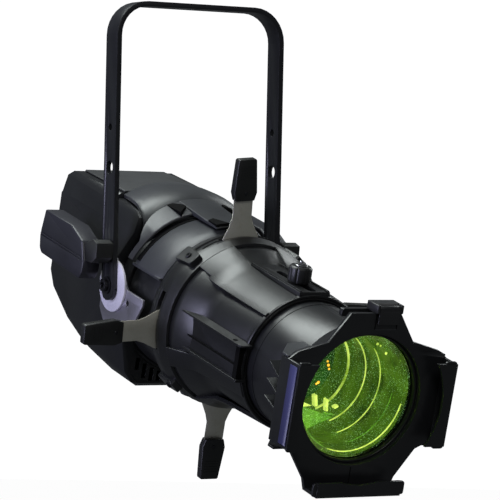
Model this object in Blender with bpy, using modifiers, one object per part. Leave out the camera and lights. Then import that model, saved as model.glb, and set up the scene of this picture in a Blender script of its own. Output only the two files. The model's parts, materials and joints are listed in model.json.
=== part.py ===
"""Ellipsoidal spotlight hanging from its yoke. Metres, +Z up, X across the yoke arms.

The origin is the centre of the yoke's top face. The head hangs on the yoke's pivot and points
forward (-Y) and down. Head pieces are placed in the beam frame: X across, Y up from the optical
axis, Z forward along the beam, with its origin beside the pivot.
"""

import math

import bmesh
import bpy
from mathutils import Vector

OBJECT_NAME = "ellipsoidal_spotlight"

# Fits
GAP = 0.0003
RUNNING_GAP = 0.0006
OVERCUT = 0.002

# Lens tube: its radius sets the width of the whole head
TUBE_RADIUS = 0.0685
TUBE_WALL = 0.0025
TUBE_CLEARANCE = 0.0007
TUBE_BORE = TUBE_RADIUS - TUBE_WALL
LENS_RADIUS = TUBE_BORE - 0.0025
LENS_EDGE = 0.004
LENS_RING_LIP = 0.0025
FRONT_LENS_THICKNESS = 0.02
REAR_LENS_THICKNESS = 0.018

# Lens housing
LENS_HOUSING_BORE = TUBE_RADIUS + TUBE_CLEARANCE
LENS_HOUSING_RADIUS = LENS_HOUSING_BORE + 0.0028
PAD_TOP = LENS_HOUSING_RADIUS + 0.0055
PAD_HALF_WIDTH = 0.0185
RAIL_OUT = LENS_HOUSING_RADIUS + 0.0055
RAIL_HALF_HEIGHT = 0.02
FOCUS_SLOT_HALF_WIDTH = 0.0048
PAD_OVERLAP = 0.01

# Shutter ring and shutter housing
RING_BORE = LENS_HOUSING_BORE + 0.0108
RING_RADIUS = RING_BORE + 0.015
LENS_HOUSING_REAR_RADIUS = RING_BORE + 0.0085
SHELL_BORE = RING_BORE - 0.001
UPPER_SHELL_RADIUS = SHELL_BORE + 0.0145
LOWER_SHELL_RADIUS = SHELL_BORE + 0.0055
SHELL_SPLIT = 0.038
BEARING_RADIUS = LOWER_SHELL_RADIUS + GAP
BEARING_BORE = BEARING_RADIUS - 0.0288
GATE_RADIUS = RING_BORE / 2
GATE_THICKNESS = 0.002
GATE_FROM_RING_FRONT = 0.006

# Places along the beam, rear to front
BEARING_REAR = -0.014
BEARING_FRONT = 0.006
BARREL_REAR = BEARING_FRONT + 0.003
SHELL_FRONT = 0.0745
LOCK_KNOB_PLACE = SHELL_FRONT - 0.0145
RING_REAR = SHELL_FRONT + 0.001
RING_FRONT = RING_REAR + 0.042
BLADE_PLANE = RING_REAR + 0.0215
LENS_HOUSING_REAR = RING_FRONT + 0.001
LENS_HOUSING_NECK = LENS_HOUSING_REAR + 0.0325
LENS_HOUSING_FRONT = LENS_HOUSING_REAR + 0.1315
PAD_REAR = LENS_HOUSING_NECK - 0.01
RAIL_REAR = LENS_HOUSING_REAR + 0.0115
RAIL_FRONT = LENS_HOUSING_FRONT - 0.007
FOCUS_SLOT_REAR = LENS_HOUSING_NECK + 0.021
FOCUS_SLOT_FRONT = LENS_HOUSING_FRONT - 0.004
KNOB_PLACE = (FOCUS_SLOT_REAR + FOCUS_SLOT_FRONT) / 2 + 0.0055
TUBE_REAR = LENS_HOUSING_NECK + 0.007
REAR_LENS = TUBE_REAR + 0.064
HOLDER_PLATE_FRONT = 0.366
HOLDER_PLATE_THICKNESS = 0.005
HOLDER_FRONT = HOLDER_PLATE_FRONT + 0.022
TUBE_FRONT = HOLDER_PLATE_FRONT - HOLDER_PLATE_THICKNESS - 0.0005
FRONT_LENS = TUBE_FRONT - 0.0175

# Rear housing
HOUSING_REAR = -0.196
HOUSING_FRONT = 0.008
HOUSING_SHOULDER = -0.0805
HOUSING_WALL = 0.0035
HOUSING_HALF_WIDTH = BEARING_RADIUS + 0.0037
HOUSING_WAIST = HOUSING_HALF_WIDTH - 0.0085
HOUSING_REAR_HALF_WIDTH = HOUSING_HALF_WIDTH - 0.016
HOUSING_TOP_FRONT = BEARING_RADIUS + 0.0077
HOUSING_TOP_REAR = HOUSING_TOP_FRONT - 0.004
HOUSING_TOP_BEVEL = 0.006
HOUSING_BELLY = -BEARING_RADIUS - 0.0207
LIGHT_WELL_RADIUS = BEARING_BORE + 0.004
COVER_THICKNESS = 0.0025
COVER_REAR_HALF_WIDTH = HOUSING_HALF_WIDTH - 0.037
COVER_FRONT_HALF_WIDTH = HOUSING_HALF_WIDTH - 0.033
COVER_REAR_MARGIN = 0.003

# Front shroud
SHROUD_REAR = HOUSING_SHOULDER + 0.001
SHROUD_FRONT = -0.008
SHROUD_RADIUS = HOUSING_TOP_FRONT + 0.0185
SHROUD_WALL = 0.003
SHROUD_REAR_HALF_WIDTH = COVER_FRONT_HALF_WIDTH + 0.0005
SHROUD_FRONT_HALF_WIDTH = SHROUD_REAR_HALF_WIDTH + 0.01

# Front grille
GRILLE_HALF_WIDTH = HOUSING_HALF_WIDTH - 0.0245
GRILLE_FOOT = HOUSING_BELLY + 0.0055
GRILLE_BRIM = BEARING_RADIUS + 0.0037
GRILLE_CHAMFER = 0.01
GRILLE_THICKNESS = 0.003
GRILLE_RECESS = 0.0008
GRILLE_SLOT_WIDTH = 0.0052
GRILLE_SLOT_PITCH = 0.0095
GRILLE_MARGIN = 0.0018

# Rear panel and its fittings
SOCKET_BODY_RADIUS = 0.0112
SOCKET_FLANGE_RADIUS = SOCKET_BODY_RADIUS + 0.0023
SOCKET_BORE_RADIUS = SOCKET_BODY_RADIUS - 0.0024
SOCKET_FLANGE = 0.0022
SOCKET_LENGTH = 0.024
SOCKET_BORE_DEPTH = 0.014
SOCKET_SPACING = 2 * SOCKET_FLANGE_RADIUS + 0.0005
SOCKET_ROW = 0.0015
SOCKET_CHAMFER = 0.0006
POWER_CORE = (0.0035, 0.0048)
PIN_COUNT = 5
PIN_RADIUS = 0.0012
PIN_CIRCLE = 0.0042
PIN_LENGTH = 0.009
BUTTON_RADIUS = 0.004
BUTTON_FLANGE = 0.0012
BUTTON_LENGTH = 0.0075
BUTTON_PROUD = 0.0022
BUTTON_TRAVEL = 0.0016
BUTTON_CHAMFER = 0.0005
BUTTON_SPACING = 0.0145
BUTTON_COUNT = 4
BUTTON_HEIGHT = SOCKET_ROW + SOCKET_FLANGE_RADIUS + 0.0175
DISPLAY_WIDTH = 0.052
DISPLAY_HEIGHT = 0.024
DISPLAY_MIDDLE = BUTTON_HEIGHT + BUTTON_RADIUS + 0.0185
DISPLAY_THICKNESS = 0.0022
DISPLAY_CORNER = 0.002
PANEL_HALF_WIDTH = 1.5 * SOCKET_SPACING + SOCKET_FLANGE_RADIUS + 0.00125
PANEL_TOP = DISPLAY_MIDDLE + DISPLAY_HEIGHT / 2 + 0.007
PANEL_BOTTOM = SOCKET_ROW - SOCKET_FLANGE_RADIUS - 0.01
PANEL_CORNER = 0.006
PANEL_THICKNESS = 0.003

# Inside the housing, rear to front
BOARD_SIZE = (0.1, 0.0018, 0.03)
BOARD_DROP = 0.002
BOARD_FROM_REAR = 0.012
FAN_REAR = -0.154
FAN_DEPTH = 0.02
FAN_SIZE = 0.08
FAN_CORNER = 0.006
FAN_BORE_RADIUS = FAN_SIZE / 2 - 0.0025
FAN_HUB_RADIUS = 0.016
FAN_ARM_DEPTH = 0.0025
FAN_ARM_COUNT = 3
FAN_BLADES = 7
FAN_BLADE_WIDTH = 0.012
FAN_BLADE_THICKNESS = 0.0018
FAN_BLADE_PITCH = math.radians(38.0)
FAN_BLADE_CLEARANCE = 0.0015
HEAT_SINK_REAR = FAN_REAR + FAN_DEPTH + 0.016
HEAT_SINK_BASE = 0.006
HEAT_SINK_DEPTH = 0.038
HEAT_SINK_HALF_WIDTH = 0.052
HEAT_SINK_HALF_HEIGHT = 0.05
HEAT_SINK_FINS = 12
HEAT_SINK_FIN_THICKNESS = 0.0022
LED_BOARD_RADIUS = 0.046
LED_BOARD_THICKNESS = 0.003
LIGHT_PIPE_LENGTH = 0.062
LIGHT_PIPE_REAR_RADIUS = 0.04
LIGHT_PIPE_FRONT_RADIUS = 0.026
LIGHT_PIPE_WALL = 0.003
SUPPLY_WIDTH = 0.1
SUPPLY_HEIGHT = 0.026
SUPPLY_LENGTH = 0.07
SUPPLY_REAR = -0.092
SUPPLY_TOP = -HEAT_SINK_HALF_HEIGHT - 0.001

# Yoke
YOKE_SIDE_SPACE = 0.0169
YOKE_WIDTH = 2 * (HOUSING_HALF_WIDTH + YOKE_SIDE_SPACE)
YOKE_DROP = 0.3097
YOKE_BAR_WIDTH = 0.0254
YOKE_BAR_THICKNESS = 0.0056
YOKE_CORNER_RADIUS = 0.038
YOKE_END_BEYOND_PIVOT = 0.0165
CLAMP_HOLE_RADIUS = 0.0066
SPARE_HOLE_RADIUS = 0.0033
SPARE_HOLE_SPACING = 0.039
ARM_SMALL_HOLE_DROP = 0.138
ARM_SMALL_HOLE_RADIUS = 0.004
ARM_LARGE_HOLE_DROP = 0.182
ARM_LARGE_HOLE_RADIUS = 0.0075

# Pivot
HEAD_TILT = math.radians(15.0)
AXIS_BELOW_PIVOT = 0.0095
BOLT_RADIUS = 0.005
BOLT_HEAD_RADIUS = BOLT_RADIUS + 0.0018
BOLT_HEAD_HEIGHT = 0.006
BOLT_SOCKET_RADIUS = BOLT_RADIUS - 0.0015
BOLT_SOCKET_DEPTH = 0.0035
FRICTION_DISC_RADIUS = 0.029
FRICTION_DISC_THICKNESS = 0.0026
BRACKET_THICKNESS = 0.0028
BRACKET_BOSS_RADIUS = BARREL_REAR - GAP - 0.0002
BRACKET_FRONT = 0.067
BRACKET_REAR = -0.026
BRACKET_TOP = 0.0125
BRACKET_BOTTOM = -0.034
BRACKET_HOLE_RADIUS = 0.0034
BRACKET_HOLE_PLACE = (0.0345, -0.001)

# Side handles: outlines are (along the beam, up)
HANDLE_INNER = YOKE_WIDTH / 2 + 0.0041
HANDLE_OUTER = HANDLE_INNER + 0.0215
HANDLE_WALL = 0.003
HANDLE_EDGE = 0.0022
HANDLE_GROOVE = 0.0016
HANDLE_GROOVE_DEPTH = 0.001
HANDLE_GROOVE_HEIGHTS = (0.0345, 0.0315)
HANDLE_OUTLINE = [
    (-0.118, 0.062),
    (-0.051, 0.062),
    (-0.023, 0.052),
    (-0.0145, 0.032),
    (-0.0145, 0.02),
    (-0.02, 0.0105),
    (-0.115, 0.012),
    (-0.121, 0.017),
    (-0.124, 0.032),
]
HANDLE_FOOT_ALONG = (-0.112, -0.094)
HANDLE_FOOT_UP = (0.015, 0.034)
NOSE_INNER = YOKE_WIDTH / 2 + 0.0028
NOSE_OUTER = NOSE_INNER + 0.0203
NOSE_OUTLINE = [
    (-0.0215, 0.0508),
    (-0.004, 0.0595),
    (0.0065, 0.058),
    (0.0085, 0.042),
    (0.001, 0.0345),
    (-0.0135, 0.0325),
]
TONGUE_REAR = -0.03
TONGUE_UP = (0.036, 0.046)
TONGUE_OUTLINE = [
    (TONGUE_REAR, TONGUE_UP[1]),
    (-0.015, TONGUE_UP[1]),
    (-0.01, TONGUE_UP[0]),
    (TONGUE_REAR, TONGUE_UP[0]),
]

# Shutters
BLADE_THICKNESS = 0.0009
BLADE_PITCH = 2 * BLADE_THICKNESS
BLADE_SLOT_DEPTH = 4 * BLADE_PITCH + 0.0006
BLADE_SLOT_WIDTH = 0.064
BLADE_WIDTH = 0.072
BLADE_WIDE_FROM = RING_BORE - 0.022
BLADE_EDGE = GATE_RADIUS + 0.004
FLARE_WIDTH = 0.043
FLARE_IN = RING_RADIUS - 0.001
STRIP_WIDTH = 0.0235
STRIP_IN = RING_RADIUS + 0.021
GRIP_IN = RING_RADIUS + 0.04
GRIP_OUT = GRIP_IN + 0.046
GRIP_WIDTH = STRIP_WIDTH + 0.0045
GRIP_DEPTH = 0.0095
GRIP_COVER = 0.012
SHUTTERS = (
    # name, quarter turns, swivel in degrees, sideways offset, layer
    ("top", 0, 5.0, 0.0, 1.5),
    ("left", 1, 3.5, -0.004, 0.5),
    ("bottom", 2, 0.0, 0.0, -0.5),
    ("right", 3, 3.0, 0.003, -1.5),
)

# Knobs
KNOB_RADIUS = 0.0125
KNOB_HEIGHT = 0.0175
KNOB_GAP = 0.001
KNOB_CHAMFER = 0.002
KNOB_FLUTES = 8
KNOB_FLUTE_RADIUS = 0.0016
STUD_RADIUS = FOCUS_SLOT_HALF_WIDTH - 0.0008
STUD_END_RADIUS = STUD_RADIUS - 0.001
LOCK_KNOB_RADIUS = 0.008
LOCK_KNOB_HEIGHT = 0.014
LOCK_KNOB_CHAMFER = 0.0015
LOCK_STUD_RADIUS = 0.003
LOCK_KNOB_TURN = math.radians(-12.0)

# Accessory holder
HOLDER_REAR = HOLDER_FRONT - 0.036
HOLDER_HALF_WIDTH = TUBE_RADIUS + 0.0255
HOLDER_LIP = 0.0035
HOLDER_WALL = 0.0035
HOLDER_APERTURE = LENS_HOUSING_BORE
LIP_APERTURE = HOLDER_APERTURE + 0.0138
LIP_REACH = 0.032
SIDE_WING_HALF_HEIGHT = 0.044
BOTTOM_WING_HALF_WIDTH = 0.05
BOTTOM_WING_DROP = HOLDER_HALF_WIDTH + 0.0015
BOTTOM_LIP_HEIGHT = 0.0155
HOLDER_TOP = HOLDER_HALF_WIDTH - 0.003
HOLDER_TOP_HALF_WIDTH = 0.0295
COLLAR_REAR = HOLDER_REAR - 0.012
COLLAR_WALL = 0.0065
GUSSET_THICKNESS = 0.0024
GUSSET_HEIGHTS = (-0.028, 0.0, 0.028)
LABEL_THICKNESS = 0.0008
LABEL_MARGIN = 0.003
LABEL_WIDTH = 0.0135

# Frame retainer
RETAINER_CENTRE = 0.0135
RETAINER_WIDTH = 0.024
RETAINER_THICKNESS = 0.0022
RETAINER_LENGTH = 0.016
RETAINER_BARREL = 0.0032
RETAINER_PIN = 0.0015
RETAINER_PIN_UP = HOLDER_TOP + 0.0052
RETAINER_PIN_ALONG = HOLDER_PLATE_FRONT + 0.0012
RETAINER_CHEEK = 0.003
RETAINER_BLOCK_TOP = HOLDER_TOP + 0.0095
RETAINER_BLOCK_DEPTH = 0.017

# Round pieces are drawn with this many flats, by size
LARGE_STEPS = 56
MIDDLE_STEPS = 40
SMALL_STEPS = 24


# ---------------------------------------------------------------- scene and helpers

for old_object in list(bpy.data.objects):
    bpy.data.objects.remove(old_object, do_unlink=True)

PARTS = bpy.data.collections.new(OBJECT_NAME)
CUTTERS = bpy.data.collections.new("cutters")
bpy.context.scene.collection.children.link(PARTS)
bpy.context.scene.collection.children.link(CUTTERS)
CUTTERS.hide_render = True


def empty(name, parent=None, location=(0, 0, 0), rotation=(0, 0, 0)):
    """An axis or a frame that pieces hang on."""
    frame = bpy.data.objects.new(name, None)
    PARTS.objects.link(frame)
    frame.parent = parent
    frame.location = location
    frame.rotation_euler = rotation
    frame.empty_display_size = 0.02
    return frame


def place(thing, parent, location=(0, 0, 0), rotation=(0, 0, 0)):
    thing.parent = parent
    thing.location = location
    thing.rotation_euler = rotation
    return thing


def finish(thing, colour, roughness, metallic=0.0):
    """Give a piece its own material."""
    material = bpy.data.materials.new(thing.name + "_material")
    material.use_nodes = True
    shader = material.node_tree.nodes["Principled BSDF"]
    shader.inputs["Base Color"].default_value = (*colour, 1.0)
    shader.inputs["Roughness"].default_value = roughness
    shader.inputs["Metallic"].default_value = metallic
    thing.data.materials.clear()
    thing.data.materials.append(material)
    return thing


def as_cutter(thing):
    for collection in list(thing.users_collection):
        collection.objects.unlink(thing)
    CUTTERS.objects.link(thing)
    thing.hide_render = True
    thing.display_type = "WIRE"
    return thing


def mesh_piece(name, mesh, smooth=False):
    thing = bpy.data.objects.new(name, mesh)
    PARTS.objects.link(thing)
    for face in mesh.polygons:
        face.use_smooth = smooth
    return thing


def box(name, low, high):
    """A box between two corners, its origin at the parent's."""
    mesh = bpy.data.meshes.new(name)
    shape = bmesh.new()
    bmesh.ops.create_cube(shape, size=1.0)
    for vertex in shape.verts:
        for axis in range(3):
            middle = (low[axis] + high[axis]) / 2
            vertex.co[axis] = middle + vertex.co[axis] * (high[axis] - low[axis])
    shape.to_mesh(mesh)
    shape.free()
    return mesh_piece(name, mesh)


def box_between(name, across, up, along):
    """A box from its ranges along local X, Y and Z."""
    return box(name, (across[0], up[0], along[0]), (across[1], up[1], along[1]))


def cylinder(name, radius, low, high, axis="z", centre=(0, 0), sides=32):
    """A round bar along an axis between two places on it; centre is its place on the other two."""
    mesh = bpy.data.meshes.new(name)
    shape = bmesh.new()
    bmesh.ops.create_cone(
        shape, cap_ends=True, segments=sides, radius1=radius, radius2=radius, depth=high - low
    )
    middle = (low + high) / 2
    for vertex in shape.verts:
        across, up, along = vertex.co
        if axis == "z":
            vertex.co = Vector((centre[0] + across, centre[1] + up, middle + along))
        elif axis == "x":
            vertex.co = Vector((middle + along, centre[0] + across, centre[1] + up))
        else:
            vertex.co = Vector((centre[0] + up, middle + along, centre[1] + across))
    face_outwards(shape)
    shape.to_mesh(mesh)
    shape.free()
    return mesh_piece(name, mesh, smooth=sides > 8)


def arc(centre, radius, start, end, steps):
    """Points of an arc, angles in degrees."""
    points = []
    for step in range(steps + 1):
        angle = math.radians(start + (end - start) * step / steps)
        points.append((centre[0] + radius * math.cos(angle), centre[1] + radius * math.sin(angle)))
    return points


def turned(name, profile, steps=LARGE_STEPS, closed=True):
    """A piece turned about local Z from a profile of (radius, along) points."""
    mesh = bpy.data.meshes.new(name)
    count = len(profile)
    edges = [(i, i + 1) for i in range(count - 1)]
    if closed:
        edges.append((count - 1, 0))
    mesh.from_pydata([(radius, 0.0, along) for radius, along in profile], edges, [])
    thing = mesh_piece(name, mesh)
    screw = thing.modifiers.new("turn", "SCREW")
    screw.axis = "Z"
    screw.steps = steps
    screw.render_steps = steps
    screw.use_merge_vertices = True
    screw.merge_threshold = 0.00001
    screw.use_smooth_shade = True
    return thing


def tube_profile(outer, bore):
    """A closed profile from its outer points, front first, and its bore points, rear first."""
    return list(outer) + list(bore)


def extruded(name, outlines, low, high, plane="xy"):
    """A flat outline, with any holes after it, made solid between two places across its plane.

    Plane "xy" runs along local Z, "zy" (points are along, up) runs along local X and "xz"
    (points are across, along) runs along local Y.
    """
    curve = bpy.data.curves.new(name, "CURVE")
    curve.dimensions = "2D"
    curve.fill_mode = "BOTH"
    curve.extrude = (high - low) / 2
    for outline in outlines:
        spline = curve.splines.new("POLY")
        spline.points.add(len(outline) - 1)
        for point, (first, second) in zip(spline.points, outline):
            point.co = (first, second, 0.0, 1.0)
        spline.use_cyclic_u = True
    drawn = bpy.data.objects.new(name + "_outline", curve)
    bpy.context.scene.collection.objects.link(drawn)
    graph = bpy.context.evaluated_depsgraph_get()
    mesh = bpy.data.meshes.new_from_object(drawn.evaluated_get(graph))
    bpy.data.objects.remove(drawn, do_unlink=True)
    bpy.data.curves.remove(curve)
    middle = (low + high) / 2
    shape = bmesh.new()
    shape.from_mesh(mesh)
    bmesh.ops.remove_doubles(shape, verts=shape.verts, dist=0.000001)
    for vertex in shape.verts:
        first, second, across = vertex.co
        if plane == "xy":
            vertex.co = Vector((first, second, middle + across))
        elif plane == "zy":
            vertex.co = Vector((middle + across, second, first))
        else:
            vertex.co = Vector((first, middle + across, second))
    face_outwards(shape)
    shape.to_mesh(mesh)
    shape.free()
    mesh.name = name
    return mesh_piece(name, mesh)


def face_outwards(shape):
    bmesh.ops.recalc_face_normals(shape, faces=shape.faces)
    if shape.calc_volume(signed=True) < 0:
        bmesh.ops.reverse_faces(shape, faces=shape.faces)


def boolean(thing, other, operation):
    step = thing.modifiers.new(operation.lower() + "_" + other.name, "BOOLEAN")
    step.operation = operation
    step.solver = "EXACT"
    step.object = as_cutter(other)
    return thing


def cut(thing, *cutters):
    for cutter in cutters:
        place_like(cutter, thing)
        boolean(thing, cutter, "DIFFERENCE")
    return thing


def join(thing, *others):
    for other in others:
        place_like(other, thing)
        boolean(thing, other, "UNION")
    return thing


def keep_inside(thing, other):
    place_like(other, thing)
    return boolean(thing, other, "INTERSECT")


def place_like(other, thing):
    """Pieces and their cutters are drawn in the same frame."""
    other.parent = thing.parent
    other.location = thing.location
    other.rotation_euler = thing.rotation_euler


def soften(thing, width, segments=2, angle=30):
    """Round the sharp edges of a piece."""
    step = thing.modifiers.new("rounded_edges", "BEVEL")
    step.width = width
    step.segments = segments
    step.limit_method = "ANGLE"
    step.angle_limit = math.radians(angle)
    step.use_clamp_overlap = True
    return thing


def mirrored(outline):
    """The whole outline from its right half, drawn from top to bottom."""
    return list(outline) + [(-x, y) for x, y in reversed(outline) if x != 0.0]


def inset(outline, wall):
    """The outline moved inwards by a wall; the outline runs clockwise."""
    moved = []
    count = len(outline)
    for i in range(count):
        before = Vector(outline[i - 1])
        here = Vector(outline[i])
        after = Vector(outline[(i + 1) % count])
        first = (here - before).normalized()
        second = (after - here).normalized()
        first_in = Vector((first.y, -first.x))
        second_in = Vector((second.y, -second.x))
        bisector = (first_in + second_in).normalized()
        reach = wall / max(bisector.dot(first_in), 0.3)
        moved.append(tuple(here + bisector * reach))
    return moved


def rounded_rectangle(low, high, radius, steps=4):
    """Corner points of a rounded rectangle."""
    points = []
    points += arc((high[0] - radius, high[1] - radius), radius, 0, 90, steps)
    points += arc((low[0] + radius, high[1] - radius), radius, 90, 180, steps)
    points += arc((low[0] + radius, low[1] + radius), radius, 180, 270, steps)
    points += arc((high[0] - radius, low[1] + radius), radius, 270, 360, steps)
    return points


BLACK = (0.018, 0.018, 0.02)
DARK_GREY = (0.035, 0.035, 0.04)
GREY = (0.1, 0.105, 0.11)
STEEL = (0.62, 0.6, 0.52)
BRIGHT_STEEL = (0.75, 0.75, 0.76)
ALUMINIUM = (0.55, 0.56, 0.58)
RUBBER = (0.012, 0.012, 0.012)
GREEN_GLASS = (0.35, 0.75, 0.3)
BOARD_GREEN = (0.03, 0.12, 0.05)
LABEL_BLUE = (0.07, 0.07, 0.18)


# ---------------------------------------------------------------- frames and joint axes

PIVOT_AXIS = empty("head_tilt_axis", location=(0, 0, -YOKE_DROP))
PIVOT_AXIS.rotation_euler = (math.radians(90) + HEAD_TILT, 0, 0)
BEAM = empty("beam_axis", PIVOT_AXIS, (0, -AXIS_BELOW_PIVOT, 0))


# ---------------------------------------------------------------- yoke

def make_yoke():
    outer_x = YOKE_WIDTH / 2
    inner_x = outer_x - YOKE_BAR_THICKNESS
    inner_radius = YOKE_CORNER_RADIUS - YOKE_BAR_THICKNESS
    foot = -YOKE_DROP - YOKE_END_BEYOND_PIVOT
    turn_x = outer_x - YOKE_CORNER_RADIUS
    turn = -YOKE_CORNER_RADIUS
    outline = [(-outer_x, foot)]
    outline += arc((-turn_x, turn), YOKE_CORNER_RADIUS, 180, 90, 8)
    outline += arc((turn_x, turn), YOKE_CORNER_RADIUS, 90, 0, 8)
    outline += [(outer_x, foot), (inner_x, foot)]
    outline += arc((turn_x, turn), inner_radius, 0, 90, 8)
    outline += arc((-turn_x, turn), inner_radius, 90, 180, 8)
    outline += [(-inner_x, foot)]
    half = YOKE_BAR_WIDTH / 2
    yoke = extruded("yoke", [outline], -half, half, plane="xz")
    beyond = half + OVERCUT
    trim_outline = [(foot - OVERCUT, -beyond), (foot - OVERCUT, beyond), (foot + half, beyond)]
    trim_outline += arc((foot + half, 0), half - 0.00001, 90, 270, 12)
    trim_outline += [(foot + half, -beyond)]
    end_trim = extruded("arm_end_trim", [trim_outline], -outer_x - OVERCUT, outer_x + OVERCUT, plane="zy")
    through = (-outer_x - OVERCUT, outer_x + OVERCUT)
    top = (-YOKE_BAR_THICKNESS - OVERCUT, OVERCUT)
    holes = [cylinder("clamp_hole", CLAMP_HOLE_RADIUS, *top, axis="z", sides=24)]
    for side in (-1, 1):
        spare_centre = (side * SPARE_HOLE_SPACING, 0)
        holes.append(
            cylinder(f"spare_hole_{side}", SPARE_HOLE_RADIUS, *top, axis="z", centre=spare_centre, sides=16)
        )
    bores = (
        ("arm_large_holes", ARM_LARGE_HOLE_RADIUS, ARM_LARGE_HOLE_DROP),
        ("arm_small_holes", ARM_SMALL_HOLE_RADIUS, ARM_SMALL_HOLE_DROP),
        ("pivot_bores", BOLT_RADIUS + RUNNING_GAP, YOKE_DROP),
    )
    for name, radius, drop in bores:
        holes.append(cylinder(name, radius, *through, axis="x", centre=(0, -drop), sides=24))
    cut(yoke, end_trim, *holes)
    finish(yoke, BLACK, 0.45)


# ---------------------------------------------------------------- pivots and side handles

def arm_inner_face():
    return YOKE_WIDTH / 2 - YOKE_BAR_THICKNESS


def disc_inner_face():
    return arm_inner_face() - GAP - FRICTION_DISC_THICKNESS


def bracket_outer_face():
    return disc_inner_face() - GAP


def spread(side, low, high):
    """A range on the given side of the middle, low to high."""
    return (low, high) if side > 0 else (-high, -low)


def make_pivot(side, word):
    pivot = (AXIS_BELOW_PIVOT, 0.0)
    outer = bracket_outer_face()
    inner = outer - BRACKET_THICKNESS

    plate = [
        (BRACKET_REAR, BRACKET_TOP + 0.02),
        (BRACKET_REAR + 0.02, BRACKET_TOP + 0.026),
        (0.016, BRACKET_TOP + 0.012),
        (0.03, BRACKET_TOP),
        (BRACKET_FRONT, BRACKET_TOP),
        (BRACKET_FRONT, BRACKET_TOP - 0.008),
        (0.044, BRACKET_BOTTOM),
        (BRACKET_REAR + 0.012, BRACKET_BOTTOM),
        (BRACKET_REAR, BRACKET_BOTTOM + 0.012),
    ]
    slot = arc(BRACKET_HOLE_PLACE, BRACKET_HOLE_RADIUS, 0, 360, 12)[:-1]
    bracket = extruded(f"side_bracket_{word}", [plate, slot], *spread(side, inner, outer), plane="zy")
    place(bracket, BEAM)
    boss_start = HOUSING_HALF_WIDTH + GAP
    boss_ends = spread(side, boss_start, inner + BRACKET_THICKNESS / 2)
    boss = cylinder(f"bracket_boss_{word}", BRACKET_BOSS_RADIUS, *boss_ends, axis="x", centre=pivot)
    join(bracket, boss)
    bolt_bore = cylinder(
        f"bracket_bore_{word}", BOLT_RADIUS + GAP, *spread(side, boss_start - OVERCUT, outer + OVERCUT),
        axis="x", centre=pivot, sides=24,
    )
    cut(bracket, bolt_bore)
    finish(bracket, (0.3, 0.3, 0.34), 0.35, 0.6)

    disc = cylinder(
        f"friction_disc_{word}", FRICTION_DISC_RADIUS,
        *spread(side, disc_inner_face(), disc_inner_face() + FRICTION_DISC_THICKNESS),
        axis="x", centre=pivot, sides=MIDDLE_STEPS,
    )
    place(disc, BEAM)
    disc_bore = cylinder(
        f"disc_bore_{word}", BOLT_RADIUS + GAP, *spread(side, outer - OVERCUT, arm_inner_face() + OVERCUT),
        axis="x", centre=pivot, sides=24,
    )
    cut(disc, disc_bore)
    finish(disc, BRIGHT_STEEL, 0.28, 1.0)

    head_low = YOKE_WIDTH / 2 + GAP
    head_high = head_low + BOLT_HEAD_HEIGHT
    bolt = cylinder(
        f"pivot_bolt_{word}", BOLT_HEAD_RADIUS, *spread(side, head_low, head_high),
        axis="x", centre=pivot, sides=SMALL_STEPS,
    )
    place(bolt, BEAM)
    shank_ends = spread(side, boss_start + OVERCUT, head_low + BOLT_HEAD_HEIGHT / 2)
    shank = cylinder(f"bolt_shank_{word}", BOLT_RADIUS, *shank_ends, axis="x", centre=pivot, sides=20)
    socket_ends = spread(side, head_high - BOLT_SOCKET_DEPTH, head_high + OVERCUT)
    socket = cylinder(
        f"bolt_socket_{word}", BOLT_SOCKET_RADIUS, *socket_ends, axis="x", centre=pivot, sides=6
    )
    join(bolt, shank)
    cut(bolt, socket)
    finish(bolt, (0.2, 0.2, 0.21), 0.3, 0.9)


def make_side_handle(side, word):
    handle_ends = spread(side, HANDLE_INNER, HANDLE_OUTER)
    handle = extruded(f"side_handle_{word}", [HANDLE_OUTLINE], *handle_ends, plane="zy")
    place(handle, BEAM)
    soften(handle, HANDLE_EDGE, 2, 25)
    hollow = extruded(
        f"handle_hollow_{word}", [inset(HANDLE_OUTLINE, HANDLE_WALL)],
        *spread(side, HANDLE_INNER - OVERCUT, HANDLE_OUTER - HANDLE_WALL), plane="zy",
    )
    cut(handle, hollow)
    foot_across = spread(side, HOUSING_WAIST + GAP, HANDLE_OUTER - HANDLE_WALL / 2)
    foot = box_between(f"handle_foot_{word}", foot_across, HANDLE_FOOT_UP, HANDLE_FOOT_ALONG)
    join(handle, foot)
    groove_across = spread(side, HANDLE_OUTER - HANDLE_GROOVE_DEPTH, HANDLE_OUTER + OVERCUT)
    groove_along = (HANDLE_OUTLINE[-1][0] - OVERCUT, HANDLE_OUTLINE[-4][0])
    for number, height in enumerate(HANDLE_GROOVE_HEIGHTS):
        groove = box_between(
            f"handle_groove_{word}_{number}", groove_across, (height, height + HANDLE_GROOVE), groove_along
        )
        cut(handle, groove)
    finish(handle, DARK_GREY, 0.5)

    nose = extruded(f"handle_nose_{word}", [NOSE_OUTLINE], *spread(side, NOSE_INNER, NOSE_OUTER), plane="zy")
    place(nose, BEAM)
    bridge_low, bridge_high = spread(side, HANDLE_INNER + HANDLE_WALL, NOSE_OUTER - HANDLE_WALL * 2)
    tongue = extruded(f"nose_tongue_{word}", [TONGUE_OUTLINE], bridge_low, bridge_high, plane="zy")
    tongue_slot = box_between(
        f"nose_slot_{word}", (bridge_low - GAP, bridge_high + GAP),
        (TONGUE_UP[0] - GAP, TONGUE_UP[1] + GAP), (TONGUE_REAR - GAP, NOSE_OUTLINE[1][0]),
    )
    clearance = extruded(
        f"nose_clearance_{word}", [[(along + GAP, up) for along, up in HANDLE_OUTLINE]],
        *spread(side, HANDLE_INNER - OVERCUT, HANDLE_OUTER + OVERCUT), plane="zy",
    )
    cut(nose, clearance)
    join(nose, tongue)
    cut(handle, tongue_slot)
    finish(nose, RUBBER, 0.6)


# ---------------------------------------------------------------- rear housing

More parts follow.
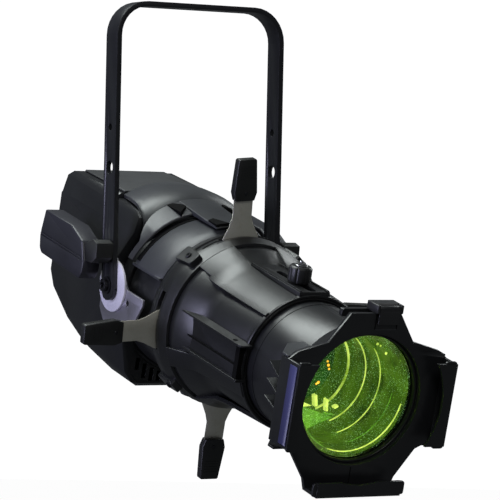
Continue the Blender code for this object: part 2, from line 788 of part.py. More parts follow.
def housing_side_outline():
    """Along the beam and up, clockwise from the top rear corner; the shoulder runs under the shroud."""
    return [
        (HOUSING_REAR, HOUSING_TOP_REAR - HOUSING_TOP_BEVEL),
        (HOUSING_REAR + HOUSING_TOP_BEVEL, HOUSING_TOP_REAR),
        (HOUSING_SHOULDER, HOUSING_TOP_FRONT),
        (HOUSING_SHOULDER, HOUSING_TOP_FRONT - 0.006),
        (-0.03, HOUSING_TOP_FRONT - 0.007),
        (BEARING_REAR - 0.0045, HOUSING_TOP_FRONT - 0.0115),
        (BEARING_REAR - 0.0045, 0.03),
        (HOUSING_FRONT, -0.012),
        (HOUSING_FRONT, HOUSING_BELLY + 0.0055),
        (HOUSING_FRONT - 0.006, HOUSING_BELLY),
        (-0.02, HOUSING_BELLY + 0.0015),
        (-0.065, HOUSING_BELLY + 0.014),
        (-0.103, HOUSING_BELLY + 0.0255),
        (-0.182, -0.046),
        (HOUSING_REAR, -0.03),
    ]


def housing_front_outline():
    """Across and up, clockwise from the top."""
    right = [
        (HOUSING_HALF_WIDTH - 0.034, HOUSING_TOP_FRONT + 0.003),
        (HOUSING_HALF_WIDTH - 0.0265, HOUSING_TOP_FRONT - 0.002),
        (HOUSING_HALF_WIDTH - 0.021, HOUSING_TOP_FRONT - 0.0105),
        (HOUSING_HALF_WIDTH - 0.017, HOUSING_TOP_FRONT - 0.029),
        (HOUSING_HALF_WIDTH, 0.034),
        (HOUSING_HALF_WIDTH, -0.02),
        (HOUSING_HALF_WIDTH - 0.005, -0.041),
        (HOUSING_HALF_WIDTH - 0.016, HOUSING_BELLY + 0.0185),
        (HOUSING_HALF_WIDTH - 0.0255, HOUSING_BELLY + 0.0065),
        (HOUSING_HALF_WIDTH - 0.0385, HOUSING_BELLY - 0.0015),
    ]
    return mirrored(right)


def housing_plan_outline(wall):
    """The housing seen from above; its ends run past the housing's."""
    right = [
        (HOUSING_HALF_WIDTH - wall, HOUSING_FRONT + OVERCUT),
        (HOUSING_HALF_WIDTH - wall, -0.03),
        (HOUSING_WAIST - wall, -0.09),
        (HOUSING_REAR_HALF_WIDTH - wall, HOUSING_REAR - OVERCUT),
    ]
    return mirrored(right)


def make_housing():
    side = housing_side_outline()
    front = housing_front_outline()
    far = HOUSING_HALF_WIDTH + OVERCUT
    housing = extruded("rear_housing", [side], -far, far, plane="zy")
    place(housing, BEAM)
    across = extruded("housing_section", [front], HOUSING_REAR - OVERCUT, HOUSING_FRONT + OVERCUT)
    full_height = (-SHROUD_RADIUS, SHROUD_RADIUS)
    plan_view = extruded("housing_plan", [housing_plan_outline(0.0)], *full_height, plane="xz")
    keep_inside(housing, across)
    keep_inside(housing, plan_view)

    hollow = extruded("housing_hollow", [inset(side, HOUSING_WALL)], -far, far, plane="zy")
    place(hollow, BEAM)
    hollow_section = extruded(
        "hollow_section", [inset(front, HOUSING_WALL)], HOUSING_REAR - OVERCUT, HOUSING_FRONT + OVERCUT
    )
    keep_inside(hollow, hollow_section)
    hollow_plan = extruded("hollow_plan", [housing_plan_outline(HOUSING_WALL)], *full_height, plane="xz")
    keep_inside(hollow, hollow_plan)
    cut(housing, hollow)

    panel_low = (-PANEL_HALF_WIDTH - GAP, PANEL_BOTTOM - GAP)
    panel_high = (PANEL_HALF_WIDTH + GAP, PANEL_TOP + GAP)
    panel_opening = extruded(
        "panel_opening", [rounded_rectangle(panel_low, panel_high, PANEL_CORNER + GAP)],
        HOUSING_REAR - OVERCUT, HOUSING_REAR + HOUSING_WALL + OVERCUT,
    )
    beyond_front = HOUSING_FRONT + OVERCUT
    light_well = cylinder(
        "light_well", LIGHT_WELL_RADIUS, BEARING_REAR * 4, beyond_front, sides=MIDDLE_STEPS
    )
    barrel_well = cylinder(
        "barrel_well", BEARING_RADIUS + GAP, BEARING_REAR - GAP, beyond_front, sides=LARGE_STEPS
    )
    cut(housing, panel_opening, light_well, barrel_well)

    behind_grille = HOUSING_FRONT - HOUSING_WALL * 3
    grille_opening = extruded("grille_opening", [grille_outline(GAP)], behind_grille, beyond_front)
    cut(housing, grille_opening, shroud_shape("shroud_seat", GAP))
    finish(housing, DARK_GREY, 0.45)

    cover_rear = HOUSING_REAR + HOUSING_TOP_BEVEL + COVER_REAR_MARGIN
    cover_front = HOUSING_SHOULDER - GAP
    cover_outline = [
        (-COVER_REAR_HALF_WIDTH, cover_rear),
        (-COVER_FRONT_HALF_WIDTH, cover_front),
        (COVER_FRONT_HALF_WIDTH, cover_front),
        (COVER_REAR_HALF_WIDTH, cover_rear),
    ]
    cover = extruded("top_cover", [cover_outline], GAP, COVER_THICKNESS, plane="xz")
    top_length = HOUSING_SHOULDER - HOUSING_REAR - HOUSING_TOP_BEVEL
    slope = math.atan2(HOUSING_TOP_FRONT - HOUSING_TOP_REAR, top_length)
    place(cover, BEAM, (0, HOUSING_TOP_FRONT + math.sin(slope) * -HOUSING_SHOULDER, 0), (-slope, 0, 0))
    soften(cover, 0.0008, 2, 40)
    finish(cover, GREY, 0.7)


def grille_outline(out):
    """The lower front opening, between the barrel and the housing's belly, grown by a clearance."""
    side = GRILLE_HALF_WIDTH + out
    foot = GRILLE_FOOT - out
    brim = GRILLE_BRIM - out
    start = math.degrees(math.acos(side / brim))
    outline = [(side, GRILLE_FOOT + GRILLE_CHAMFER), (side - GRILLE_CHAMFER, foot)]
    outline += [(GRILLE_CHAMFER - side, foot), (-side, GRILLE_FOOT + GRILLE_CHAMFER)]
    outline += arc((0, 0), brim, 180 + start, 360 - start, 16)
    return outline


def make_grille():
    slots = []
    count = int(GRILLE_HALF_WIDTH / GRILLE_SLOT_PITCH - 0.5)
    for number in range(-count, count + 1):
        centre = number * GRILLE_SLOT_PITCH
        left = centre - GRILLE_SLOT_WIDTH / 2
        right = centre + GRILLE_SLOT_WIDTH / 2
        reach = min(abs(left), abs(right))
        top = -math.sqrt(GRILLE_BRIM**2 - reach**2) - GRILLE_MARGIN
        foot = GRILLE_FOOT + GRILLE_MARGIN + max(0.0, abs(centre) - GRILLE_HALF_WIDTH + 2 * GRILLE_CHAMFER)
        slots.append([(left, foot), (right, foot), (right, top), (left, top)])
    front = HOUSING_FRONT - GRILLE_RECESS
    grille = extruded("front_grille", [grille_outline(0.0)] + slots, front - GRILLE_THICKNESS, front)
    place(grille, BEAM)
    finish(grille, BLACK, 0.55)


def make_rear_panel():
    panel_low = (-PANEL_HALF_WIDTH, PANEL_BOTTOM)
    panel_high = (PANEL_HALF_WIDTH, PANEL_TOP)
    panel_outline = rounded_rectangle(panel_low, panel_high, PANEL_CORNER)
    rear = HOUSING_REAR
    front = rear + PANEL_THICKNESS
    half_w = DISPLAY_WIDTH / 2 + GAP
    half_h = DISPLAY_HEIGHT / 2 + GAP
    middle = DISPLAY_MIDDLE
    openings = [rounded_rectangle((-half_w, middle - half_h), (half_w, middle + half_h), DISPLAY_CORNER, 3)]
    for x in button_places():
        openings.append(arc((x, BUTTON_HEIGHT), BUTTON_RADIUS + GAP, 0, 360, SMALL_STEPS)[:-1])
    for _, x, y in socket_places():
        openings.append(arc((x, y), SOCKET_BODY_RADIUS + GAP, 0, 360, SMALL_STEPS)[:-1])
    panel = extruded("rear_panel", [panel_outline] + openings, rear, front)
    place(panel, BEAM)
    finish(panel, DARK_GREY, 0.5)

    window_low = (-DISPLAY_WIDTH / 2, middle - DISPLAY_HEIGHT / 2)
    window_high = (DISPLAY_WIDTH / 2, middle + DISPLAY_HEIGHT / 2)
    window_outline = rounded_rectangle(window_low, window_high, DISPLAY_CORNER - GAP, 3)
    window = extruded("display_window", [window_outline], rear, rear + DISPLAY_THICKNESS)
    place(window, BEAM)
    finish(window, (0.02, 0.03, 0.05), 0.08)

    for number, x in enumerate(button_places(), start=1):
        button_front = rear - BUTTON_PROUD + BUTTON_LENGTH
        flange_rear = front + BUTTON_TRAVEL
        profile = [
            (0.0, button_front),
            (BUTTON_RADIUS + BUTTON_FLANGE, button_front),
            (BUTTON_RADIUS + BUTTON_FLANGE, flange_rear),
            (BUTTON_RADIUS, flange_rear),
            (BUTTON_RADIUS, rear - BUTTON_PROUD + BUTTON_CHAMFER),
            (BUTTON_RADIUS - BUTTON_CHAMFER, rear - BUTTON_PROUD),
            (0.0, rear - BUTTON_PROUD),
        ]
        button = turned(f"menu_button_{number}", profile, steps=SMALL_STEPS, closed=False)
        place(button, BEAM, (x, BUTTON_HEIGHT, 0))
        finish(button, (0.09, 0.09, 0.1), 0.5)


def button_places():
    first = -BUTTON_SPACING * (BUTTON_COUNT - 1) / 2
    return [first + BUTTON_SPACING * i for i in range(BUTTON_COUNT)]


def socket_places():
    return [
        ("power_inlet", -1.5 * SOCKET_SPACING, SOCKET_ROW),
        ("power_outlet", -0.5 * SOCKET_SPACING, SOCKET_ROW),
        ("data_inlet", 0.5 * SOCKET_SPACING, SOCKET_ROW),
        ("data_outlet", 1.5 * SOCKET_SPACING, SOCKET_ROW),
    ]


def make_sockets():
    rear = HOUSING_REAR
    for name, x, y in socket_places():
        flange_rear = rear - GAP - SOCKET_FLANGE
        profile = [
            (0.0, rear + SOCKET_LENGTH),
            (SOCKET_BODY_RADIUS, rear + SOCKET_LENGTH),
            (SOCKET_BODY_RADIUS, rear - GAP),
            (SOCKET_FLANGE_RADIUS, rear - GAP),
            (SOCKET_FLANGE_RADIUS, flange_rear + SOCKET_CHAMFER),
            (SOCKET_FLANGE_RADIUS - SOCKET_CHAMFER, flange_rear),
            (SOCKET_BORE_RADIUS, flange_rear),
            (SOCKET_BORE_RADIUS, flange_rear + SOCKET_BORE_DEPTH),
            (0.0, flange_rear + SOCKET_BORE_DEPTH),
        ]
        socket = turned(name, profile, steps=SMALL_STEPS, closed=False)
        place(socket, BEAM, (x, y, 0))
        floor = flange_rear + SOCKET_BORE_DEPTH
        pin_ends = (floor - PIN_LENGTH, floor + OVERCUT / 2)
        if name.startswith("power"):
            wide, tall = POWER_CORE
            core = box_between(name + "_core", (-wide, wide), (-tall, tall), pin_ends)
            join(socket, core)
        else:
            for number in range(PIN_COUNT):
                angle = 2 * math.pi * (number + 0.75) / PIN_COUNT
                centre = (PIN_CIRCLE * math.sin(angle), PIN_CIRCLE * math.cos(angle))
                pin = cylinder(f"{name}_pin_{number}", PIN_RADIUS, *pin_ends, centre=centre, sides=6)
                join(socket, pin)
        finish(socket, (0.05, 0.05, 0.055), 0.4, 0.3)


# ---------------------------------------------------------------- inside the housing

def make_internals():
    base_rear = HEAT_SINK_REAR + HEAT_SINK_DEPTH
    pitch = 2 * HEAT_SINK_HALF_WIDTH / HEAT_SINK_FINS
    base_front = base_rear + HEAT_SINK_BASE
    comb = [(-HEAT_SINK_HALF_WIDTH, base_front), (HEAT_SINK_HALF_WIDTH, base_front)]
    comb.append((HEAT_SINK_HALF_WIDTH, base_rear))
    for fin in range(HEAT_SINK_FINS):
        right = HEAT_SINK_HALF_WIDTH - pitch * (fin + 0.5) + HEAT_SINK_FIN_THICKNESS / 2
        left = right - HEAT_SINK_FIN_THICKNESS
        comb += [(right, base_rear), (right, HEAT_SINK_REAR), (left, HEAT_SINK_REAR), (left, base_rear)]
    comb.append((-HEAT_SINK_HALF_WIDTH, base_rear))
    sink = extruded("heat_sink", [comb], -HEAT_SINK_HALF_HEIGHT, HEAT_SINK_HALF_HEIGHT, plane="xz")
    place(sink, BEAM)
    finish(sink, ALUMINIUM, 0.4, 1.0)

    board_rear = base_front + GAP
    board_front = board_rear + LED_BOARD_THICKNESS
    board = cylinder("led_board", LED_BOARD_RADIUS, board_rear, board_front, sides=8)
    place(board, BEAM)
    finish(board, BOARD_GREEN, 0.45)

    pipe_rear = board_front + GAP
    pipe_front = pipe_rear + LIGHT_PIPE_LENGTH
    pipe_profile = tube_profile(
        [(LIGHT_PIPE_FRONT_RADIUS, pipe_front), (LIGHT_PIPE_REAR_RADIUS, pipe_rear)],
        [
            (LIGHT_PIPE_REAR_RADIUS - LIGHT_PIPE_WALL, pipe_rear),
            (LIGHT_PIPE_FRONT_RADIUS - LIGHT_PIPE_WALL, pipe_front),
        ],
    )
    pipe = turned("light_pipe", pipe_profile, steps=6)
    place(pipe, BEAM)
    finish(pipe, BRIGHT_STEEL, 0.1, 1.0)

    half = FAN_SIZE / 2
    fan_front = FAN_REAR + FAN_DEPTH
    fan_outline = rounded_rectangle((-half, -half), (half, half), FAN_CORNER, 3)
    bore = arc((0, 0), FAN_BORE_RADIUS, 0, 360, MIDDLE_STEPS)[:-1]
    fan_frame = extruded("fan_frame", [fan_outline, bore], FAN_REAR, fan_front)
    place(fan_frame, BEAM)
    spider_front = FAN_REAR + FAN_ARM_DEPTH
    plate = cylinder("fan_motor_plate", FAN_HUB_RADIUS, FAN_REAR, spider_front, sides=24)
    join(fan_frame, plate)
    arm_half = FAN_BLADE_THICKNESS
    for number in range(FAN_ARM_COUNT):
        arm = box_between(
            f"fan_arm_{number}", (-arm_half, arm_half),
            (FAN_HUB_RADIUS - OVERCUT, FAN_BORE_RADIUS + OVERCUT / 2), (FAN_REAR, spider_front),
        )
        join(fan_frame, arm)
        arm.rotation_euler = (0, 0, 2 * math.pi * number / FAN_ARM_COUNT)
    finish(fan_frame, BLACK, 0.5)

    rotor_rear = spider_front + RUNNING_GAP
    rotor_front = fan_front - 0.001
    rotor = cylinder("fan_rotor", FAN_HUB_RADIUS - 0.001, rotor_rear, rotor_front, sides=24)
    place(rotor, BEAM)
    blade_half = FAN_BLADE_WIDTH / 2
    for number in range(FAN_BLADES):
        blade = box_between(
            f"fan_blade_{number}", (-blade_half, blade_half),
            (FAN_HUB_RADIUS - OVERCUT, FAN_BORE_RADIUS - FAN_BLADE_CLEARANCE),
            (-FAN_BLADE_THICKNESS / 2, FAN_BLADE_THICKNESS / 2),
        )
        join(rotor, blade)
        blade.location = (0, 0, (rotor_rear + rotor_front) / 2)
        blade.rotation_mode = "YXZ"
        blade.rotation_euler = (0, FAN_BLADE_PITCH, 2 * math.pi * number / FAN_BLADES)
    finish(rotor, BLACK, 0.5)

    supply = box_between(
        "power_supply", (-SUPPLY_WIDTH / 2, SUPPLY_WIDTH / 2),
        (SUPPLY_TOP - SUPPLY_HEIGHT, SUPPLY_TOP), (SUPPLY_REAR, SUPPLY_REAR + SUPPLY_LENGTH),
    )
    place(supply, BEAM)
    soften(supply, 0.001, 1, 40)
    finish(supply, ALUMINIUM, 0.45, 0.8)

    board_width, board_thickness, board_depth = BOARD_SIZE
    board_up = PANEL_BOTTOM - BOARD_DROP
    board_along = HOUSING_REAR + BOARD_FROM_REAR
    control = box_between(
        "control_board", (-board_width / 2, board_width / 2),
        (board_up, board_up + board_thickness), (board_along, board_along + board_depth),
    )
    place(control, BEAM)
    finish(control, BOARD_GREEN, 0.5)


# ---------------------------------------------------------------- shroud and barrel

def shroud_shape(name, clearance):
    """The shroud's own solid, or with a clearance the space that it needs in the housing."""
    outer = [
        (SHROUD_RADIUS - 0.019, SHROUD_FRONT),
        (SHROUD_RADIUS - 0.009, SHROUD_FRONT - 0.002),
        (SHROUD_RADIUS - 0.003, SHROUD_FRONT - 0.012),
        (SHROUD_RADIUS, SHROUD_FRONT - 0.03),
        (SHROUD_RADIUS - 0.001, SHROUD_REAR + 0.022),
        (SHROUD_RADIUS - 0.004, SHROUD_REAR - clearance),
    ]
    bore = [(radius - SHROUD_WALL - clearance, along) for radius, along in reversed(outer)]
    bore[-1] = (SHROUD_RADIUS - 0.019, SHROUD_FRONT - SHROUD_WALL - clearance)
    bore[-2] = (SHROUD_RADIUS - 0.0105 - clearance, SHROUD_FRONT - SHROUD_WALL - 0.002)
    shape = turned(name, tube_profile(outer, bore), steps=72)
    place(shape, BEAM)
    rear_half_width = SHROUD_REAR_HALF_WIDTH + clearance
    front_half_width = SHROUD_FRONT_HALF_WIDTH + clearance
    keep = [
        (-rear_half_width, SHROUD_REAR - OVERCUT),
        (-front_half_width, SHROUD_FRONT + OVERCUT),
        (front_half_width, SHROUD_FRONT + OVERCUT),
        (rear_half_width, SHROUD_REAR - OVERCUT),
    ]
    window = extruded(f"{name}_window", [keep], 0.02, SHROUD_RADIUS + OVERCUT, plane="xz")
    keep_inside(shape, window)
    return shape


def make_shroud():
    shroud = shroud_shape("front_shroud", 0.0)
    finish(shroud, GREY, 0.4)


def make_barrel():
    bearing = turned(
        "bearing_ring",
        tube_profile(
            [(BEARING_RADIUS, BEARING_FRONT), (BEARING_RADIUS, BEARING_REAR)],
            [(BEARING_BORE, BEARING_REAR), (BEARING_BORE, BEARING_FRONT)],
        ),
    )
    place(bearing, BEAM)
    finish(bearing, BLACK, 0.5)

    shell_outer = [
        (UPPER_SHELL_RADIUS - 0.0035, SHELL_FRONT),
        (UPPER_SHELL_RADIUS, SHELL_FRONT - 0.012),
        (UPPER_SHELL_RADIUS, BARREL_REAR + 0.016),
        (UPPER_SHELL_RADIUS - 0.0025, BARREL_REAR + 0.004),
        (UPPER_SHELL_RADIUS - 0.0055, BARREL_REAR),
    ]
    upper = turned(
        "shutter_housing_upper",
        tube_profile(shell_outer, [(SHELL_BORE, BARREL_REAR), (SHELL_BORE, SHELL_FRONT)]),
    )
    place(upper, BEAM)
    shell_along = (BARREL_REAR - OVERCUT, SHELL_FRONT + OVERCUT)
    wide = (-SHROUD_RADIUS, SHROUD_RADIUS)
    below = box_between("below_upper_shell", wide, (-SHROUD_RADIUS, SHELL_SPLIT), shell_along)
    cut(upper, below)
    finish(upper, GREY, 0.42)

    lower = turned(
        "shutter_housing_lower",
        tube_profile(
            [
                (LOWER_SHELL_RADIUS - 0.002, SHELL_FRONT),
                (LOWER_SHELL_RADIUS, SHELL_FRONT - 0.004),
                (LOWER_SHELL_RADIUS, BARREL_REAR + 0.003),
                (LOWER_SHELL_RADIUS - 0.003, BARREL_REAR),
            ],
            [(SHELL_BORE, BARREL_REAR), (SHELL_BORE, SHELL_FRONT)],
        ),
    )
    place(lower, BEAM)
    above = box_between("above_lower_shell", wide, (SHELL_SPLIT - GAP, SHROUD_RADIUS), shell_along)
    cut(lower, above)
    finish(lower, BLACK, 0.45)

    ring = turned(
        "shutter_ring",
        tube_profile(
            [
                (RING_RADIUS - 0.003, RING_FRONT),
                (RING_RADIUS - 0.003, RING_FRONT - 0.005),
                (RING_RADIUS, RING_FRONT - 0.012),
                (RING_RADIUS, RING_REAR + 0.014),
                (RING_RADIUS - 0.003, RING_REAR + 0.006),
                (RING_RADIUS - 0.005, RING_REAR),
            ],
            [(RING_BORE, RING_REAR), (RING_BORE, RING_FRONT)],
        ),
    )
    place(ring, BEAM)
    half_slot = BLADE_SLOT_WIDTH / 2
    half_depth = BLADE_SLOT_DEPTH / 2
    for name, quarter, *_ in SHUTTERS:
        slot = box(
            f"blade_slot_{name}", (-half_slot, GATE_RADIUS, BLADE_PLANE - half_depth),
            (half_slot, RING_RADIUS + OVERCUT, BLADE_PLANE + half_depth),
        )
        cut(ring, slot)
        slot.rotation_euler = (0, 0, math.radians(90) * quarter)
    finish(ring, DARK_GREY, 0.4)

    gate_front = RING_FRONT - GATE_FROM_RING_FRONT
    gate = turned(
        "gate_plate",
        tube_profile(
            [(RING_BORE - GAP, gate_front), (RING_BORE - GAP, gate_front - GATE_THICKNESS)],
            [(GATE_RADIUS, gate_front - GATE_THICKNESS), (GATE_RADIUS, gate_front)],
        ),
        steps=MIDDLE_STEPS,
    )
    place(gate, BEAM)
    finish(gate, STEEL, 0.35, 1.0)


def make_shutter(name, quarter, swivel, offset, layer):
    frame = empty(
        f"shutter_{name}_slide", BEAM, (0, 0, BLADE_PLANE + BLADE_PITCH * layer),
        (0, 0, math.radians(90 * quarter + swivel)),
    )
    half = BLADE_THICKNESS / 2
    strip = STRIP_WIDTH / 2
    right = [
        (strip, GRIP_OUT - GRIP_COVER),
        (strip, STRIP_IN),
        (strip + 0.003, STRIP_IN - 0.009),
        (FLARE_WIDTH / 2, FLARE_IN),
        (FLARE_WIDTH / 2, BLADE_WIDE_FROM + 0.004),
        (BLADE_WIDTH / 2, BLADE_WIDE_FROM),
        (BLADE_WIDTH / 2, BLADE_EDGE),
    ]
    blade = extruded(f"shutter_blade_{name}", [mirrored(right)], -half, half)
    place(blade, frame, (offset, 0, 0))
    finish(blade, STEEL, 0.35, 1.0)

    wide = GRIP_WIDTH / 2
    grip_right = [
        (wide - 0.0045, GRIP_OUT),
        (wide - 0.003, GRIP_OUT - 0.0012),
        (wide, GRIP_IN + 0.009),
        (wide - 0.0028, GRIP_IN),
    ]
    grip = extruded(f"shutter_grip_{name}", [mirrored(grip_right)], -GRIP_DEPTH / 2, GRIP_DEPTH / 2)
    place(grip, frame, (offset, 0, 0))
    soften(grip, 0.0012, 2, 40)
    pocket = box(
        f"grip_pocket_{name}", (-strip - GAP, GRIP_IN - OVERCUT, -half - GAP),
        (strip + GAP, GRIP_OUT - GRIP_COVER + GAP, half + GAP),
    )
    cut(grip, pocket)
    finish(grip, RUBBER, 0.45)


def make_lens_housing():
    front = LENS_HOUSING_FRONT
    housing = turned(
        "lens_housing",
        [
            (0.0, front),
            (LENS_HOUSING_RADIUS - 0.001, front),
            (LENS_HOUSING_RADIUS, front - 0.002),
            (LENS_HOUSING_RADIUS, LENS_HOUSING_NECK + 0.015),
            (LENS_HOUSING_RADIUS + 0.004, LENS_HOUSING_NECK),
            (LENS_HOUSING_REAR_RADIUS, LENS_HOUSING_REAR + 0.009),
            (LENS_HOUSING_REAR_RADIUS, LENS_HOUSING_REAR),
            (0.0, LENS_HOUSING_REAR),
        ],
        closed=False,
    )
    place(housing, BEAM)
    half = PAD_HALF_WIDTH
    pad_front = front - 0.0012
    pad_outline = [
        (half - 0.003, PAD_REAR),
        (half, PAD_REAR + 0.004),
        (half, pad_front),
        (-half, pad_front),
        (-half, PAD_REAR + 0.004),
        (-half + 0.003, PAD_REAR),
    ]
    pad = extruded("focus_pad", [pad_outline], LENS_HOUSING_BORE - PAD_OVERLAP, PAD_TOP, plane="xz")
    rails = []
    for side in (-1, 1):
        low, high = spread(side, LENS_HOUSING_BORE - PAD_OVERLAP, RAIL_OUT)
        rail_up = (-RAIL_HALF_HEIGHT, RAIL_HALF_HEIGHT)
        rails.append(box_between(f"side_rail_{side}", (low, high), rail_up, (RAIL_REAR, RAIL_FRONT)))
    join(housing, pad, *rails)
    bore = turned(
        "lens_housing_bore",
        [
            (0.0, front + OVERCUT),
            (LENS_HOUSING_BORE, front + OVERCUT),
            (LENS_HOUSING_BORE, LENS_HOUSING_NECK - 0.003),
            (RING_BORE, LENS_HOUSING_REAR + 0.0075),
            (RING_BORE, LENS_HOUSING_REAR - OVERCUT),
            (0.0, LENS_HOUSING_REAR - OVERCUT),
        ],
        closed=False,
    )
    cut(housing, bore)
    width = FOCUS_SLOT_HALF_WIDTH
    slot_outline = arc((0, FOCUS_SLOT_REAR + width), width, 180, 360, 6)
    slot_outline += arc((0, FOCUS_SLOT_FRONT - width), width, 0, 180, 6)
    slot_ends = (LENS_HOUSING_BORE - PAD_OVERLAP, PAD_TOP + OVERCUT)
    slot = extruded("focus_slot", [slot_outline], *slot_ends, plane="xz")
    cut(housing, slot)
    finish(housing, DARK_GREY, 0.42)


def lens_profile(radius, thickness, edge, centre):
    """A biconvex lens about the beam, drawn front to rear on its outer side."""
    bulge = (thickness - edge) / 2
    curve_radius = (radius**2 + bulge**2) / (2 * bulge)
    half_angle = math.asin(radius / curve_radius)
    steps = 6
    front = []
    for step in range(steps + 1):
        angle = half_angle * step / steps
        reach = curve_radius * math.sin(angle)
        front.append((reach, centre + edge / 2 + bulge - curve_radius * (1 - math.cos(angle))))
    rear = [(reach, 2 * centre - along) for reach, along in reversed(front)]
    return front + rear


def make_lens_tube():
    tube = turned(
        "lens_tube",
        tube_profile(
            [(TUBE_RADIUS, TUBE_FRONT), (TUBE_RADIUS, TUBE_REAR)],
            [(TUBE_BORE, TUBE_REAR), (TUBE_BORE, TUBE_FRONT)],
        ),
    )
    place(tube, BEAM)
    stud_hole = cylinder(
        "stud_hole", STUD_END_RADIUS + GAP, TUBE_BORE - PAD_OVERLAP, TUBE_RADIUS + OVERCUT,
        axis="y", centre=(0, KNOB_PLACE), sides=SMALL_STEPS,
    )
    cut(tube, stud_hole)
    finish(tube, BLACK, 0.4)

    for name, centre, thickness in (
        ("front_lens", FRONT_LENS, FRONT_LENS_THICKNESS),
        ("rear_lens", REAR_LENS, REAR_LENS_THICKNESS),
    ):
        profile = lens_profile(LENS_RADIUS, thickness, LENS_EDGE, centre)
        lens = turned(name, profile, steps=MIDDLE_STEPS, closed=False)
        place(lens, BEAM)
        finish(lens, GREEN_GLASS, 0.02)
        ring_name = name + "_ring"
        outer = TUBE_BORE - GAP
        inner = LENS_RADIUS - 0.003
        groove = LENS_RADIUS + GAP
        half_groove = LENS_EDGE / 2 + 4 * GAP
        half_ring = half_groove + LENS_RING_LIP / 2
        ring = turned(
            ring_name,
            [
                (outer, centre + half_ring),
                (outer, centre - half_ring),
                (inner, centre - half_ring),
                (inner, centre - half_groove),
                (groove, centre - half_groove),
                (groove, centre + half_groove),
                (inner, centre + half_groove),
                (inner, centre + half_ring),
            ],
            steps=MIDDLE_STEPS,
        )
        place(ring, BEAM)
        finish(ring, BLACK, 0.45)

    knob_low = PAD_TOP + KNOB_GAP
    knob_frame = empty("focus_knob_axis", BEAM, (0, 0, KNOB_PLACE), (math.radians(-90), 0, 0))
    knob = turned(
        "focus_knob",
        [
            (0.0, knob_low + KNOB_HEIGHT),
            (KNOB_RADIUS - KNOB_CHAMFER, knob_low + KNOB_HEIGHT),
            (KNOB_RADIUS, knob_low + KNOB_HEIGHT - KNOB_CHAMFER),
            (KNOB_RADIUS, knob_low + KNOB_CHAMFER),
            (KNOB_RADIUS - KNOB_CHAMFER / 2, knob_low),
            (STUD_RADIUS, knob_low),
            (STUD_RADIUS, TUBE_RADIUS + GAP),
            (STUD_END_RADIUS, TUBE_RADIUS + GAP),
            (STUD_END_RADIUS, TUBE_BORE + GAP),
            (0.0, TUBE_BORE + GAP),
        ],
        steps=SMALL_STEPS,
        closed=False,
    )
    place(knob, knob_frame)
    flute_ends = (knob_low - OVERCUT, knob_low + KNOB_HEIGHT + OVERCUT)
    reach = KNOB_RADIUS + KNOB_FLUTE_RADIUS / 4
    for number in range(KNOB_FLUTES):
        flute = cylinder(f"knob_flute_{number}", KNOB_FLUTE_RADIUS, *flute_ends, sides=8)
        cut(knob, flute)
        angle = 2 * math.pi * number / KNOB_FLUTES
        flute.location = (reach * math.cos(angle), reach * math.sin(angle), 0)
    finish(knob, BLACK, 0.4)

    lock_rotation = (math.radians(90), 0, LOCK_KNOB_TURN)
    lock_frame = empty("rotation_lock_axis", BEAM, (0, 0, LOCK_KNOB_PLACE), lock_rotation)
    lock_low = LOWER_SHELL_RADIUS + KNOB_GAP
    lock = turned(
        "rotation_lock_knob",
        [
            (0.0, lock_low + LOCK_KNOB_HEIGHT),
            (LOCK_KNOB_RADIUS - LOCK_KNOB_CHAMFER, lock_low + LOCK_KNOB_HEIGHT),
            (LOCK_KNOB_RADIUS, lock_low + LOCK_KNOB_HEIGHT - LOCK_KNOB_CHAMFER),
            (LOCK_KNOB_RADIUS, lock_low),
            (LOCK_STUD_RADIUS, lock_low),
            (LOCK_STUD_RADIUS, SHELL_BORE + GAP),
            (0.0, SHELL_BORE + GAP),
        ],
        steps=SMALL_STEPS,
        closed=False,
    )
    place(lock, lock_frame)
    finish(lock, BLACK, 0.45)
    lock_bore = cylinder(
        "rotation_lock_bore", LOCK_STUD_RADIUS + GAP, SHELL_BORE - PAD_OVERLAP, LOWER_SHELL_RADIUS + OVERCUT,
        sides=SMALL_STEPS,
    )
    lower = bpy.data.objects["shutter_housing_lower"]
    cut(lower, lock_bore)
    lock_bore.location = lock_frame.location
    lock_bore.rotation_euler = lock_frame.rotation_euler


# ---------------------------------------------------------------- accessory holder

def holder_outline():
    """The plate seen from the front: two side wings, a bottom wing and a narrower top."""
    wing_top = SIDE_WING_HALF_HEIGHT
    right = [
        (HOLDER_TOP_HALF_WIDTH, HOLDER_TOP),
        (HOLDER_HALF_WIDTH - 0.044, HOLDER_HALF_WIDTH - 0.033),
        (HOLDER_HALF_WIDTH - 0.01, wing_top + 0.0075),
        (HOLDER_HALF_WIDTH, wing_top),
        (HOLDER_HALF_WIDTH, -wing_top),
        (HOLDER_HALF_WIDTH - 0.02, -wing_top - 0.0095),
        (BOTTOM_WING_HALF_WIDTH + 0.004, -BOTTOM_WING_DROP + 0.0125),
        (BOTTOM_WING_HALF_WIDTH, -BOTTOM_WING_DROP),
    ]
    return mirrored(right)


def make_gusset(side, number, height):
    """A thin rib that carries a side wall on the collar behind the plate."""
    inner = TUBE_RADIUS + COLLAR_WALL / 2
    outer = HOLDER_HALF_WIDTH - HOLDER_WALL / 2
    plate_middle = HOLDER_PLATE_FRONT - HOLDER_PLATE_THICKNESS / 2
    outline = [
        (side * inner, COLLAR_REAR + 0.002),
        (side * inner, plate_middle),
        (side * outer, plate_middle),
        (side * outer, HOLDER_REAR + 0.001),
    ]
    half = GUSSET_THICKNESS / 2
    return extruded(f"gusset_{side}_{number}", [outline], height - half, height + half, plane="xz")


